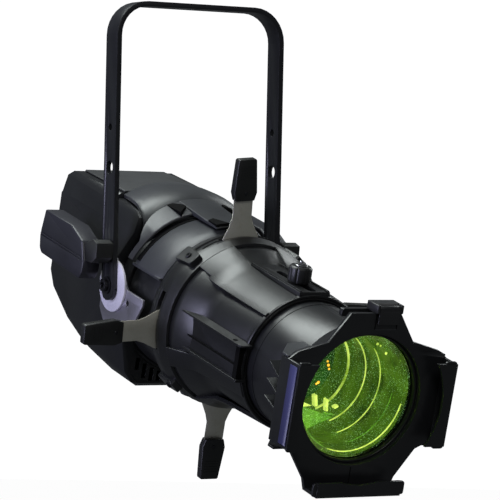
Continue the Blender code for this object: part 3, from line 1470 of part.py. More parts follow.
def make_holder():
    plate_rear = HOLDER_PLATE_FRONT - HOLDER_PLATE_THICKNESS
    wing = (-SIDE_WING_HALF_HEIGHT, SIDE_WING_HALF_HEIGHT)
    lip_along = (HOLDER_FRONT - HOLDER_LIP, HOLDER_FRONT)
    aperture = arc((0, 0), HOLDER_APERTURE, 0, 360, LARGE_STEPS)[:-1]
    holder = extruded("accessory_holder", [holder_outline(), aperture], plate_rear, HOLDER_PLATE_FRONT)
    place(holder, BEAM)
    for side in (-1, 1):
        wall_across = spread(side, HOLDER_HALF_WIDTH - HOLDER_WALL, HOLDER_HALF_WIDTH)
        wall = box_between(f"side_wall_{side}", wall_across, wing, (HOLDER_REAR, HOLDER_FRONT))
        lip_across = spread(side, HOLDER_HALF_WIDTH - LIP_REACH, HOLDER_HALF_WIDTH - HOLDER_WALL / 2)
        lip = box_between(f"side_lip_{side}", lip_across, wing, lip_along)
        join(holder, wall, lip)
    bottom = (-BOTTOM_WING_HALF_WIDTH, BOTTOM_WING_HALF_WIDTH)
    floor_up = (-BOTTOM_WING_DROP, -BOTTOM_WING_DROP + HOLDER_WALL)
    floor = box_between("bottom_wall", bottom, floor_up, (plate_rear, HOLDER_FRONT))
    front_lip_up = (-BOTTOM_WING_DROP + HOLDER_WALL / 2, -BOTTOM_WING_DROP + BOTTOM_LIP_HEIGHT)
    front_lip = box_between("bottom_lip", bottom, front_lip_up, lip_along)
    collar_front = plate_rear + OVERCUT / 2
    collar = turned(
        "holder_collar",
        [
            (TUBE_RADIUS + COLLAR_WALL, collar_front),
            (TUBE_RADIUS + COLLAR_WALL - 0.002, COLLAR_REAR),
            (TUBE_RADIUS + GAP, COLLAR_REAR),
            (TUBE_RADIUS + GAP, collar_front),
        ],
    )
    join(holder, floor, front_lip, collar)
    lip_circle = cylinder(
        "lip_circle", LIP_APERTURE, HOLDER_PLATE_FRONT + OVERCUT, HOLDER_FRONT + OVERCUT, sides=LARGE_STEPS
    )
    cut(holder, lip_circle)
    for side in (-1, 1):
        for number, height in enumerate(GUSSET_HEIGHTS):
            join(holder, make_gusset(side, number, height))
    finish(holder, BLACK, 0.42)

    label_up = (wing[0] + LABEL_MARGIN, wing[1] - LABEL_MARGIN)
    label_along = (HOLDER_FRONT - LABEL_MARGIN - LABEL_WIDTH, HOLDER_FRONT - LABEL_MARGIN)
    for side, word in ((-1, "left"), (1, "right")):
        label_across = spread(side, HOLDER_HALF_WIDTH + GAP, HOLDER_HALF_WIDTH + GAP + LABEL_THICKNESS)
        label = box_between(f"label_strip_{word}", label_across, label_up, label_along)
        place(label, BEAM)
        finish(label, LABEL_BLUE, 0.35)


def make_retainer():
    half = RETAINER_WIDTH / 2
    opening = (RETAINER_CENTRE - half - RUNNING_GAP, RETAINER_CENTRE + half + RUNNING_GAP)
    cheeks = (opening[0] - RETAINER_CHEEK, opening[1] + RETAINER_CHEEK)
    block_rear = HOLDER_PLATE_FRONT - RETAINER_BLOCK_DEPTH
    block_front = RETAINER_PIN_ALONG + RETAINER_BARREL
    block = box_between(
        "retainer_block", cheeks, (HOLDER_TOP + GAP, RETAINER_BLOCK_TOP), (block_rear, block_front)
    )
    place(block, BEAM)
    soften(block, 0.001, 2, 40)
    recess = box_between(
        "retainer_recess", opening, (HOLDER_TOP - OVERCUT, RETAINER_BLOCK_TOP + OVERCUT),
        (RETAINER_PIN_ALONG - RETAINER_BARREL - RUNNING_GAP, RETAINER_PIN_ALONG + 0.02),
    )
    cut(block, recess)
    pin = cylinder(
        "retainer_pin", RETAINER_PIN, cheeks[0] + RETAINER_CHEEK / 2, cheeks[1] - RETAINER_CHEEK / 2,
        axis="x", centre=(RETAINER_PIN_UP, RETAINER_PIN_ALONG), sides=16,
    )
    join(block, pin)
    finish(block, BLACK, 0.45)

    frame = empty("retainer_hinge", BEAM, (RETAINER_CENTRE, RETAINER_PIN_UP, RETAINER_PIN_ALONG))
    retainer = cylinder("frame_retainer", RETAINER_BARREL, -half, half, axis="x", sides=20)
    place(retainer, frame)
    leaf_along = (RUNNING_GAP, RUNNING_GAP + RETAINER_THICKNESS)
    leaf = box_between("retainer_leaf", (-half, half), (-RETAINER_LENGTH, -RETAINER_PIN), leaf_along)
    join(retainer, leaf)
    bore = cylinder("retainer_bore", RETAINER_PIN + GAP, -half - OVERCUT, half + OVERCUT, axis="x", sides=16)
    cut(retainer, bore)
    finish(retainer, BLACK, 0.4)


# ---------------------------------------------------------------- build

make_yoke()
for side_sign, side_word in ((-1, "left"), (1, "right")):
    make_pivot(side_sign, side_word)
    make_side_handle(side_sign, side_word)
make_housing()
make_grille()
make_rear_panel()
make_sockets()
make_internals()
make_shroud()
make_barrel()
for shutter in SHUTTERS:
    make_shutter(*shutter)
make_lens_housing()
make_lens_tube()
make_holder()
make_retainer()
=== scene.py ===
import json
import math

import bmesh
import bpy
from mathutils import Matrix, Vector


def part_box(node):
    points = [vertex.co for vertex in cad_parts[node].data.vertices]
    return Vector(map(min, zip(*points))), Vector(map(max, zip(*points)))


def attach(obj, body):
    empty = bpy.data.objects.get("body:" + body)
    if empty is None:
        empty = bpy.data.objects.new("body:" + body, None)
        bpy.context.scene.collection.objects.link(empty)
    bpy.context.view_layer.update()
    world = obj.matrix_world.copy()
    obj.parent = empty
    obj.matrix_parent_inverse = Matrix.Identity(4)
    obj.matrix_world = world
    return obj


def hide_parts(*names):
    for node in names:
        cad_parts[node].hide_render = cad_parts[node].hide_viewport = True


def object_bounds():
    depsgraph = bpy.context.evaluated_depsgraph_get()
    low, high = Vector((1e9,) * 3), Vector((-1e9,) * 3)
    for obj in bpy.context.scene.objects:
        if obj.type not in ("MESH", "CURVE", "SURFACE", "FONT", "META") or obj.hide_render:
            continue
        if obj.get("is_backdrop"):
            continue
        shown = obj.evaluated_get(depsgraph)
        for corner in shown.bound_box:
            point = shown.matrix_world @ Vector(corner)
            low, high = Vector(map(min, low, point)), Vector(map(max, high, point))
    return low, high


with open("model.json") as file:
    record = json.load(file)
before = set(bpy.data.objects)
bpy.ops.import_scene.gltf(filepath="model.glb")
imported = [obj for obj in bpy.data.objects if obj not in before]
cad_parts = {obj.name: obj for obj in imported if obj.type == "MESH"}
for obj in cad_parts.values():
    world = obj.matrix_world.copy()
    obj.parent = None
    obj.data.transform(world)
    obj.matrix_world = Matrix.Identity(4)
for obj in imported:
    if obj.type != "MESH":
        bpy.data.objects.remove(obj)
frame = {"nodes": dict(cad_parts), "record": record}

CAD_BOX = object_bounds()
RECORD = frame["record"]
JOINTS = {joint["name"]: joint for joint in RECORD["behaviour"]["joints"]}
SIDES = ((-1, "left"), (1, "right"))

# ---------------------------------------------------------------- materials

# noise scales, from large patches to small marks
BROAD_SCALE = 14
SCUFF_SCALE = 60
MIDDLE_SCALE = 160
ROLLED_SCALE = 260
SPOT_SCALE = 120
# sockets of a Mix node that mixes colours
MIX_FACTOR, MIX_FIRST, MIX_SECOND, MIX_RESULT = 0, 6, 7, 2
# bevels
EDGE_WIDTH = 0.0006
EDGE_SEGMENTS = 2
EDGE_ANGLE = 28
WELD_WITHIN = 0.00001


def new_material(name):
    material = bpy.data.materials.new(name)
    material.use_nodes = True
    tree = material.node_tree
    shader = tree.nodes["Principled BSDF"]
    return material, tree, shader


def add(tree, kind, **values):
    node = tree.nodes.new(kind)
    for key, value in values.items():
        setattr(node, key, value)
    return node


def noise(tree, scale, detail=3.0, roughness=0.55, squash=None):
    coordinates = add(tree, "ShaderNodeTexCoord")
    source = coordinates.outputs["Object"]
    if squash:
        mapping = add(tree, "ShaderNodeMapping")
        mapping.inputs["Scale"].default_value = squash
        tree.links.new(source, mapping.inputs["Vector"])
        source = mapping.outputs["Vector"]
    texture = add(tree, "ShaderNodeTexNoise")
    texture.inputs["Scale"].default_value = scale
    texture.inputs["Detail"].default_value = detail
    texture.inputs["Roughness"].default_value = roughness
    tree.links.new(source, texture.inputs["Vector"])
    return texture.outputs["Fac"]


def ramp(tree, source, stops):
    """Black to white or colour to colour, with stops of (place, colour or grey)."""
    node = add(tree, "ShaderNodeValToRGB")
    elements = node.color_ramp.elements
    while len(elements) < len(stops):
        elements.new(0.5)
    for element, (place, colour) in zip(elements, stops):
        element.position = place
        if not hasattr(colour, "__len__"):
            colour = (colour, colour, colour)
        element.color = (*colour, 1.0)
    tree.links.new(source, node.inputs["Fac"])
    return node.outputs["Color"]


def mix(tree, factor, first, second, kind="MIX"):
    node = add(tree, "ShaderNodeMix", data_type="RGBA", blend_type=kind)
    for index, value in ((MIX_FACTOR, factor), (MIX_FIRST, first), (MIX_SECOND, second)):
        socket = node.inputs[index]
        if hasattr(value, "is_linked"):
            tree.links.new(value, socket)
        elif hasattr(value, "__len__"):
            socket.default_value = (*value, 1.0)
        else:
            socket.default_value = value
    return node.outputs[MIX_RESULT]


def bump(tree, shader, layers):
    """Layers of (height socket, distance in metres, strength)."""
    normal = None
    for height, distance, strength in layers:
        node = add(tree, "ShaderNodeBump")
        node.inputs["Distance"].default_value = distance
        node.inputs["Strength"].default_value = strength
        tree.links.new(height, node.inputs["Height"])
        if normal:
            tree.links.new(normal, node.inputs["Normal"])
        normal = node.outputs["Normal"]
    tree.links.new(normal, shader.inputs["Normal"])


def coated(name, colour, rough, grain=1500, depth=0.00004, wear=0.5, metal=0.0, level=0.5,
           coat=0.0, spread=0.3, worn=(0.16, 0.16, 0.165)):
    """Paint, moulded plastic or plate: mottled colour, patchy roughness, fine grain and scuffs."""
    material, tree, shader = new_material(name)
    shader.inputs["Metallic"].default_value = metal
    shader.inputs["Specular IOR Level"].default_value = level
    shader.inputs["Coat Weight"].default_value = coat
    shader.inputs["Coat Roughness"].default_value = 0.25
    broad = noise(tree, BROAD_SCALE, 4)
    fine = noise(tree, grain, 2)
    middle = noise(tree, MIDDLE_SCALE, 5, 0.7)
    light = tuple(min(1.0, c * (1 + spread)) for c in colour)
    dark = tuple(c * (1 - spread) for c in colour)
    mottled = ramp(tree, broad, ((0.3, dark), (0.7, light)))
    speckled = mix(tree, 0.25, mottled, ramp(tree, fine, ((0.35, dark), (0.65, light))))
    scuffs = noise(tree, SCUFF_SCALE, 8, 0.75, squash=(1.0, 1.0, 2.5))
    scuffed = ramp(tree, scuffs, ((0.66, 0.0), (0.78, wear)))
    tree.links.new(mix(tree, scuffed, speckled, worn), shader.inputs["Base Color"])
    patchy = ramp(tree, middle, ((0.25, rough - 0.03), (0.75, rough + 0.04)))
    tree.links.new(patchy, shader.inputs["Roughness"])
    bump(tree, shader, ((fine, depth, 0.6), (middle, depth, 0.12)))
    return material


def brushed(name, colour, rough, direction, tint=None, metal=1.0):
    """Rolled or brushed sheet metal, with fine lines across the given stretch and faint tint."""
    material, tree, shader = new_material(name)
    shader.inputs["Metallic"].default_value = metal
    lines = noise(tree, ROLLED_SCALE, 5, 0.7, squash=direction)
    broad = noise(tree, 22, 3)
    spots = noise(tree, SPOT_SCALE, 6, 0.7)
    dark = tuple(c * 0.82 for c in colour)
    base = mix(tree, 0.55, ramp(tree, broad, ((0.3, dark), (0.7, colour))),
               ramp(tree, lines, ((0.3, dark), (0.7, colour))))
    if tint:
        base = mix(tree, ramp(tree, spots, ((0.5, 0.0), (0.8, 0.55))), base, tint)
    tree.links.new(base, shader.inputs["Base Color"])
    tree.links.new(ramp(tree, lines, ((0.2, rough - 0.08), (0.8, rough + 0.1))), shader.inputs["Roughness"])
    bump(tree, shader, ((lines, 0.00003, 0.5), (broad, 0.0004, 0.12)))
    return material


# each coated(): name, colour, roughness, scale and depth of the grain, wear
MATERIAL = {
    "yoke": coated("yoke_satin_black", (0.011, 0.0115, 0.014), 0.32, 1300, 0.00005, 0.2),
    "painted_castings": coated("castings_black", (0.0105, 0.011, 0.0125), 0.32, 1700, 0.00003, 0.1),
    "textured_cover": coated("cover_textured", (0.024, 0.025, 0.027), 0.55, 700, 0.0005, 0.1, spread=0.6),
    # the shroud's satin paint; upward faces of other parts borrow it as a painted highlight
    "shroud": coated("shroud_satin", (0.04, 0.042, 0.046), 0.38, 2200, 0.00002, 0.05),
    "side_brackets": brushed("bracket_plated", (0.62, 0.6, 0.68), 0.38, (1, 6, 1)),
    "discs": coated("disc_pale", (0.72, 0.7, 0.78), 0.42, 900, 0.00003, 0.1, worn=(0.5, 0.48, 0.55)),
    "bolts": coated("bolt_black_zinc", (0.03, 0.03, 0.034), 0.28, 900, 0.00003, 0.35, metal=0.7,
                    worn=(0.35, 0.34, 0.33)),
    "handles": coated("handle_moulded", (0.02, 0.02, 0.026), 0.4, 2000, 0.00004, 0.08),
    "handle_noses": coated("nose_rubber", (0.014, 0.0145, 0.014), 0.5, 1200, 0.00006, 0.05),
    "panel": coated("panel_black", (0.02, 0.02, 0.022), 0.45, 1500, 0.00005, 0.1),
    "display": coated("display_glass", (0.008, 0.012, 0.016), 0.08, 2500, 0.000002, 0.0, coat=1.0),
    "buttons": coated("button_grey", (0.11, 0.115, 0.12), 0.45, 1800, 0.00003, 0.08),
    "sockets": coated("socket_body", (0.022, 0.026, 0.05), 0.4, 1800, 0.00003, 0.05),
    "heat_sink": coated("sink_anodised", (0.03, 0.03, 0.032), 0.4, 700, 0.00003, 0.1, metal=0.6),
    "boards": coated("board_green", (0.012, 0.09, 0.03), 0.35, 400, 0.00008, 0.3, worn=(0.5, 0.35, 0.1)),
    "light_pipe": coated("pipe_clear", (0.6, 0.62, 0.62), 0.1, 800, 0.00001, 0.1, coat=1.0),
    "fan": coated("fan_plastic", (0.012, 0.012, 0.013), 0.45, 1800, 0.00003, 0.05),
    "supply": brushed("supply_case", (0.55, 0.56, 0.58), 0.4, (1, 8, 1)),
    "grille": coated("grille_black", (0.012, 0.012, 0.013), 0.42, 1500, 0.00003, 0.1),
    "barrel": coated("barrel_black", (0.0105, 0.011, 0.0115), 0.33, 1700, 0.00003, 0.1),
    "shutter_steel": brushed("shutter_steel", (0.74, 0.72, 0.62), 0.42, (9, 1, 1), (0.5, 0.46, 0.34),
                             metal=0.75),
    "grips": coated("grip_moulded", (0.011, 0.0115, 0.011), 0.42, 1500, 0.00005, 0.08),
    "tube": coated("tube_black", (0.01, 0.0105, 0.0115), 0.33, 1700, 0.00003, 0.1),
    "lenses": coated("lens_green", (0.01, 0.25, 0.05), 0.06, 600, 0.000001, 0.0, coat=1.0),
    "lens_rings": coated("lens_ring_black", (0.01, 0.0105, 0.01), 0.3, 1500, 0.00002, 0.15),
    "knobs": coated("knob_plastic", (0.014, 0.0145, 0.015), 0.4, 1500, 0.00004, 0.1),
    "holder": coated("holder_black", (0.011, 0.0115, 0.0125), 0.33, 1700, 0.00003, 0.1),
    "labels": coated("label_violet", (0.052, 0.053, 0.15), 0.35, 1000, 0.00001, 0.1, worn=(0.1, 0.1, 0.26)),
    "retainer": coated("retainer_plastic", (0.015, 0.0155, 0.0165), 0.4, 1500, 0.00004, 0.12),
}

SLOT_OF = {entry["node"]: entry["material_slot"] for entry in RECORD["subparts"]}


def finish_node(name):
    """A bevel on the edges of the frame's solid, smooth faces, and its material."""
    node = frame["nodes"][name]
    slot = SLOT_OF[name]
    node.data.materials.clear()
    node.data.materials.append(MATERIAL[slot])
    for polygon in node.data.polygons:
        polygon.use_smooth = True
    weld = node.modifiers.new("weld", "WELD")
    weld.merge_threshold = WELD_WITHIN
    edge = node.modifiers.new("edge", "BEVEL")
    edge.width = EDGE_WIDTH
    edge.segments = EDGE_SEGMENTS
    edge.limit_method = "ANGLE"
    edge.angle_limit = math.radians(EDGE_ANGLE)
    edge.use_clamp_overlap = True
    edge.harden_normals = True


for name in frame["nodes"]:
    finish_node(name)

# ---------------------------------------------------------------- pieces in the beam's own frame

AXIS = JOINTS["barrel_rotation"]
FORWARD = Vector(AXIS["axis"])
ACROSS = Vector((1.0, 0.0, 0.0))
RISE = FORWARD.cross(ACROSS)
BEAM = Matrix.Translation(AXIS["pos_m"]) @ Matrix((
    (ACROSS.x, RISE.x, FORWARD.x),
    (ACROSS.y, RISE.y, FORWARD.y),
    (ACROSS.z, RISE.z, FORWARD.z),
)).to_4x4()
INTO_BEAM = BEAM.inverted()


def piece(name, mesh, body, slot, material=None, edge=EDGE_WIDTH, angle=EDGE_ANGLE, crease=30):
    """An object from a bmesh in beam coordinates (across, up, forward), riding on a body."""
    bmesh.ops.recalc_face_normals(mesh, faces=mesh.faces)
    data = bpy.data.meshes.new(name)
    mesh.to_mesh(data)
    mesh.free()
    data.transform(BEAM)
    made = bpy.data.objects.new(name, data)
    bpy.context.scene.collection.objects.link(made)
    data.materials.append(material or MATERIAL[slot])
    for polygon in data.polygons:
        polygon.use_smooth = True
    if edge:
        bevel = made.modifiers.new("edge", "BEVEL")
        bevel.width = edge
        bevel.segments = EDGE_SEGMENTS
        bevel.limit_method = "ANGLE"
        bevel.angle_limit = math.radians(angle)
        bevel.harden_normals = True
    else:
        data.set_sharp_from_angle(angle=math.radians(crease))
    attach(made, body)
    return made


def polar(radius, degrees, along):
    """Degrees from straight up, positive to +X."""
    turn = math.radians(degrees)
    return (radius * math.sin(turn), radius * math.cos(turn), along)


def turned(profile, start=0.0, end=360.0, steps=48):
    """A closed profile of (radius, along) swept round the beam."""
    mesh = bmesh.new()
    whole = abs(end - start) >= 359.9
    count = steps if whole else steps + 1
    rows = [
        [mesh.verts.new(polar(r, start + (end - start) * i / steps, u)) for r, u in profile]
        for i in range(count)
    ]
    pairs = list(zip(rows, rows[1:])) + ([(rows[-1], rows[0])] if whole else [])
    size = len(profile)
    for near, far in pairs:
        for k in range(size):
            n = (k + 1) % size
            mesh.faces.new((near[k], near[n], far[n], far[k]))
    if not whole:
        mesh.faces.new(rows[0])
        mesh.faces.new(rows[-1][::-1])
    return mesh


def loft(rings):
    """Closed loops of the same count joined in turn, with end caps."""
    mesh = bmesh.new()
    rows = [[mesh.verts.new(point) for point in ring] for ring in rings]
    for near, far in zip(rows, rows[1:]):
        size = len(near)
        for k in range(size):
            n = (k + 1) % size
            mesh.faces.new((near[k], near[n], far[n], far[k]))
    mesh.faces.new(rows[0][::-1])
    mesh.faces.new(rows[-1])
    return mesh


def slab(outline, low, high, plane="xv"):
    """An outline extruded along the axis that its plane leaves out."""
    place = {
        "xv": lambda a, b, c: (a, b, c),
        "xu": lambda a, b, c: (a, c, b),
        "vu": lambda a, b, c: (c, a, b),
    }[plane]
    return loft([[place(a, b, c) for a, b in outline] for c in (low, high)])


def brick(across, up, along):
    (x0, x1), (v0, v1), (u0, u1) = across, up, along
    return slab([(x0, v0), (x1, v0), (x1, v1), (x0, v1)], u0, u1)


def disc(radius, low, high, steps=24, chamfer=0.0):
    """A turned plug about its own Z, from low to high, placed by aimed()."""
    profile = [(radius - chamfer, low), (radius, low + chamfer), (radius, high - chamfer),
               (radius - chamfer, high)]
    mesh = bmesh.new()
    rows = []
    for i in range(steps):
        turn = math.tau * i / steps
        rows.append([mesh.verts.new((r * math.cos(turn), r * math.sin(turn), h)) for r, h in profile])
    for i in range(steps):
        near, far = rows[i], rows[(i + 1) % steps]
        for k in range(len(near) - 1):
            mesh.faces.new((near[k], near[k + 1], far[k + 1], far[k]))
    mesh.faces.new([row[0] for row in rows][::-1])
    mesh.faces.new([row[-1] for row in rows])
    return mesh


def aimed(mesh, place, direction, spin=0.0):
    """Moves a plug made along +Z to a place, pointing along direction."""
    turn = Vector(direction).to_track_quat("Z", "Y").to_matrix().to_4x4()
    mesh.transform(Matrix.Translation(place) @ turn @ Matrix.Rotation(spin, 4, "Z"))
    return mesh


def rounded(points, radius, steps=5):
    """The outline with each corner rounded."""
    out = []
    count = len(points)
    for i, corner in enumerate(points):
        corner = Vector(corner)
        before = Vector(points[i - 1]) - corner
        after = Vector(points[(i + 1) % count]) - corner
        reach = min(radius, before.length / 2.2, after.length / 2.2)
        start = corner + before.normalized() * reach
        end = corner + after.normalized() * reach
        for k in range(steps + 1):
            t = k / steps
            out.append(tuple(start * (1 - t) ** 2 + corner * (2 * t * (1 - t)) + end * t * t))
    return out


# ---------------------------------------------------------------- painted shade in gaps, and steel

# painted shade: a near-black, barely reflecting material that stands in for the shade inside gaps, slots,
# holes and recesses
GAP_PAINTED_SHADE = coated("gap_black", (0.002, 0.002, 0.002), 0.8, 900, 0.00002, 0.0, level=0.1)
STEEL = coated("screw_steel", (0.5, 0.5, 0.5), 0.25, 900, 0.00002, 0.2, metal=1.0)


def gap(name, mesh, body, slot, edge=0):
    """A piece in painted shade: a near-black sheet that stands in for the shade inside a gap or recess."""
    return piece(name, mesh, body, slot, GAP_PAINTED_SHADE, edge=edge)


def span(side, near, far):
    """The ends of a stretch across, in rising order, on one side of the beam."""
    return sorted((side * near, side * far))


def mirrored(outline, side):
    return [(side * across, other) for across, other in outline]


def ring_profile(inner, outer, rear, front):
    """A square profile of (radius, along), for turned()."""
    return [(inner, rear), (outer, rear), (outer, front), (inner, front)]


# ---------------------------------------------------------------- front shroud

SHROUD_INNER = 0.0962
COLLAR_FRONT = 0.0165
COLLAR_REAR = -0.0135
COLLAR_TOP = 0.1042
COLLAR_THINNING = 0.0015
COLLAR_SWEEP = 0.026
SWEEP_START, SWEEP_TURN = 24, 28
COLLAR_TURNS = range(-64, 65, 4)
TONGUE_TURNS = range(-13, 14, 2)
TONGUE_PROFILE = (
    (0.1062, -0.03), (0.1038, -0.006), (0.1012, 0.03), (0.0994, 0.066), (0.0982, 0.0712),
    (SHROUD_INNER, 0.0712), (SHROUD_INNER, -0.03),
)
# corners as (degrees from the top, along)
COLLAR_SLOT = ((21.5, -0.026), (14.2, -0.004), (13.6, 0.004), (21.0, 0.0165))
TONGUE_SLOT = ((8.6, 0.049), (12.8, 0.052), (12.8, 0.0705), (4.0, 0.0705))


def collar_ring(degrees):
    """One section of the collar, whose rear edge curves forward towards the sides."""
    bend = min(1.0, max(0.0, (abs(degrees) - SWEEP_START) / SWEEP_TURN))
    rear = COLLAR_REAR + COLLAR_SWEEP * bend * bend
    return [
        polar(COLLAR_TOP - COLLAR_THINNING * bend, degrees, rear),
        polar(0.0995, degrees, COLLAR_FRONT - 0.001),
        polar(0.0985, degrees, COLLAR_FRONT),
        polar(SHROUD_INNER, degrees, COLLAR_FRONT),
        polar(SHROUD_INNER, degrees, rear),
    ]


collar = [collar_ring(degrees) for degrees in COLLAR_TURNS]
piece("shroud_collar", loft(collar), "head", "shroud", edge=0.0008, angle=35)
tongue = [[polar(r, degrees, u) for r, u in TONGUE_PROFILE] for degrees in TONGUE_TURNS]
piece("shroud_tongue", loft(tongue), "head", "shroud", edge=0.0009, angle=35)
for side, word in SIDES:
    for name, corners, radii in (
        ("shroud_slot_", COLLAR_SLOT, (0.098, 0.1046)),
        ("tongue_slot_", TONGUE_SLOT, (0.0975, 0.1016)),
    ):
        # painted shade: each slot is a near-black sheet in the shroud
        mesh = loft([[polar(r, side * degrees, u) for degrees, u in corners] for r in radii])
        gap(name + word, mesh, "head", "shroud")

# ---------------------------------------------------------------- shutter housing and shutter ring

# painted highlight and painted shade: a ledge along the lower edge of the upper shutter housing, in the
# lighter shroud material where light falls on it, and the gap behind it in painted shade
gap("shell_gap", turned(ring_profile(0.0930, 0.09365, 0.0165, 0.0235), -62, 62), "barrel", "barrel")
for side, word in SIDES:
    ledge = brick(span(side, 0.0815, 0.0850), (0.0365, 0.0392), (0.012, 0.0742))
    piece("shell_ledge_" + word, ledge, "barrel", "barrel", MATERIAL["shroud"], edge=0.0005)

# two blade slots round the top of the shutter ring, in painted shade
for start, end, along in ((-36, 34, 0.0905), (-33, 31, 0.0975)):
    slot = turned(ring_profile(0.0945, 0.0953, along, along + 0.0022), start, end)
    gap(f"ring_slot_{int(along * 10000)}", slot, "barrel", "barrel")

LUG_TURNS = (-43, 43, 137, -137)
LUG_ALONG = 0.098
LUG_OUTLINE = rounded([(-0.011, -0.017), (0.011, -0.017), (0.0085, 0.015), (-0.0085, 0.015)], 0.004)
# each end as (radius, share of the outline)
LUG_ENDS = ((0.085, 1.0), (0.0987, 0.92))
SCREW_ALONG = 0.0985


def ring_lug(degrees):
    """A tapered lug on the shutter ring, with its screw head and drive."""
    turn = math.radians(degrees)
    out = Vector((math.sin(turn), math.cos(turn), 0))
    side = Vector((math.cos(turn), -math.sin(turn), 0))
    low, high = [
        [tuple(out * height + side * (a * taper) + Vector((0, 0, LUG_ALONG + b * taper)))
         for a, b in LUG_OUTLINE]
        for height, taper in LUG_ENDS
    ]
    word = str(degrees).replace("-", "m")
    piece("ring_lug_" + word, loft([low, high]), "barrel", "barrel", edge=0.0008)
    head = aimed(disc(0.0036, 0.0, 0.0022, 20, 0.0006), out * 0.0983 + Vector((0, 0, SCREW_ALONG)), out)
    piece("lug_screw_" + word, head, "barrel", "barrel", MATERIAL["bolts"], edge=0)
    # painted shade in the screw's drive
    drive = aimed(disc(0.0019, 0.0, 0.0003, 6), out * 0.1004 + Vector((0, 0, SCREW_ALONG)), out)
    gap("lug_drive_" + word, drive, "barrel", "barrel")


for degrees in LUG_TURNS:
    ring_lug(degrees)

# ---------------------------------------------------------------- lens housing

# the housing's skin, as (along, radius) from the shutter ring forward
HOUSING_SIDE = ((0.119, 0.0915), (0.135, 0.0862), (0.151, 0.0795), (0.18, 0.0768), (0.2497, 0.0737))
PANEL_DEPTH = 0.003
PANEL_STEPS = 20
PANEL_PLACES = 12


def skin(u):
    for (u0, r0), (u1, r1) in zip(HOUSING_SIDE, HOUSING_SIDE[1:]):
        if u <= u1:
            return r0 + (r1 - r0) * (u - u0) / (u1 - u0)
    return HOUSING_SIDE[-1][1]


def panel(name, start, end, rear, front, lift):
    """A raised panel that follows the skin, from one turn to another."""
    places = [rear + (front - rear) * k / PANEL_PLACES for k in range(PANEL_PLACES + 1)]
    rings = []
    for i in range(PANEL_STEPS + 1):
        degrees = start + (end - start) * i / PANEL_STEPS
        ring = [polar(skin(u) + lift, degrees, u) for u in places]
        ring += [polar(skin(u) - PANEL_DEPTH, degrees, u) for u in reversed(places)]
        rings.append(ring)
    piece(name, loft(rings), "barrel", "barrel", edge=0.0009, angle=35)


panel("housing_top_left", -44.5, -16, 0.1195, 0.2499, 0.0018)
panel("housing_top_right", 16, 44.5, 0.1195, 0.2499, 0.0018)
panel("housing_rib_left", -47, -43.4, 0.14, 0.2497, 0.0034)
panel("housing_rib_right", 43.4, 47, 0.14, 0.2497, 0.0034)
panel("housing_low_left", -118, -104, 0.1195, 0.2499, 0.0024)
panel("housing_low_right", 104, 118, 0.1195, 0.2499, 0.0024)
panel("housing_low_back", 150, 210, 0.1195, 0.2499, 0.0016)

RAIL_END = 0.2583
RAIL_ROUND = 0.006
RAIL_LOW, RAIL_TOP = 0.0203, 0.0226
BOX_REAR, BOX_FRONT = 0.124, 0.2535
BOX_INNER = 0.0705


def side_box(side, word):
    """The flanged rail on top of a side box, with its rounded end and screw hole, and the box's rib."""
    outline = [(BOX_INNER, BOX_REAR), (0.0838, BOX_REAR), (0.0846, BOX_FRONT)]
    outline += [(0.0786 + RAIL_ROUND * math.cos(t), RAIL_END - RAIL_ROUND + RAIL_ROUND * math.sin(t))
                for t in [math.radians(a) for a in range(15, 91, 15)]]
    outline += [(BOX_INNER, RAIL_END)]
    rail = slab(mirrored(outline, side), RAIL_LOW, RAIL_TOP, "xu")
    piece("side_rail_" + word, rail, "barrel", "barrel")
    # painted shade in the screw hole, along the line under the rail and at the box's end
    hole = aimed(disc(0.0027, 0.0, 0.0006, 24), (side * 0.0793, RAIL_TOP - 0.0002, 0.2375), (0, 1, 0))
    gap("rail_hole_" + word, hole, "barrel", "barrel")
    line = brick(span(side, 0.0795, 0.0806), (-0.0022, -0.001), (0.132, 0.2425))
    gap("side_line_" + word, line, "barrel", "barrel")
    rib = brick(span(side, 0.07, 0.0818), (-0.0185, -0.0155), (BOX_REAR, BOX_FRONT))
    piece("side_rib_" + word, rib, "barrel", "barrel", edge=0.0007)
    end = brick(span(side, 0.07, 0.0802), (-0.0155, RAIL_LOW), (0.2425, 0.2505))
    gap("side_end_" + word, end, "barrel", "barrel", edge=0.0005)


for side, word in SIDES:
    side_box(side, word)
LIP_PROFILE = ((0.0705, 0.2488), (0.0722, 0.2508), (0.0745, 0.2508), (0.0752, 0.249), (0.0752, 0.246),
               (0.0705, 0.246))
piece("housing_lip", turned(LIP_PROFILE, steps=72), "barrel", "barrel", edge=0.0004)
# raised edges of the pad that the focus knob slides along
for side, word in SIDES:
    rim = brick(span(side, 0.0152, 0.0178), (0.0776, 0.079), (0.146, 0.2485))
    piece("pad_rim_" + word, rim, "barrel", "barrel", edge=0.0005)

KNOB_AT = (0.0, 0.0961, 0.2145)
KNOB_SPIN = 0.3
# what stands on the focus knob: name, radius, low, high, sides
for name, radius, low, high, sides in (
    ("knob_washer", 0.0068, 0.0, 0.0012, 28),
    ("knob_nut", 0.0047, 0.0012, 0.0036, 6),
    ("knob_stud", 0.0024, 0.0036, 0.0052, 16),
):
    plug = aimed(disc(radius, low, high, sides, 0.0003), KNOB_AT, (0, 1, 0), KNOB_SPIN)
    piece(name, plug, "focus", "knobs", STEEL, edge=0)

# fine raised line round the lens tube
piece("tube_band", turned(ring_profile(0.0684, 0.0689, 0.262, 0.2632), steps=72), "tube", "tube", edge=0)

# ---------------------------------------------------------------- accessory holder

FACET_UP = 0.047
FACET_DEPTH = 0.0022
FACET_DROP = 0.002
FACET_OUTLINE = ((0.0463, 0.318), (0.0425, 0.3445), (0.0705, 0.3635), (0.094, 0.3635), (0.094, 0.3525),
                 (0.072, 0.324))
GUSSET_REAR, GUSSET_FRONT = 0.308, 0.3395
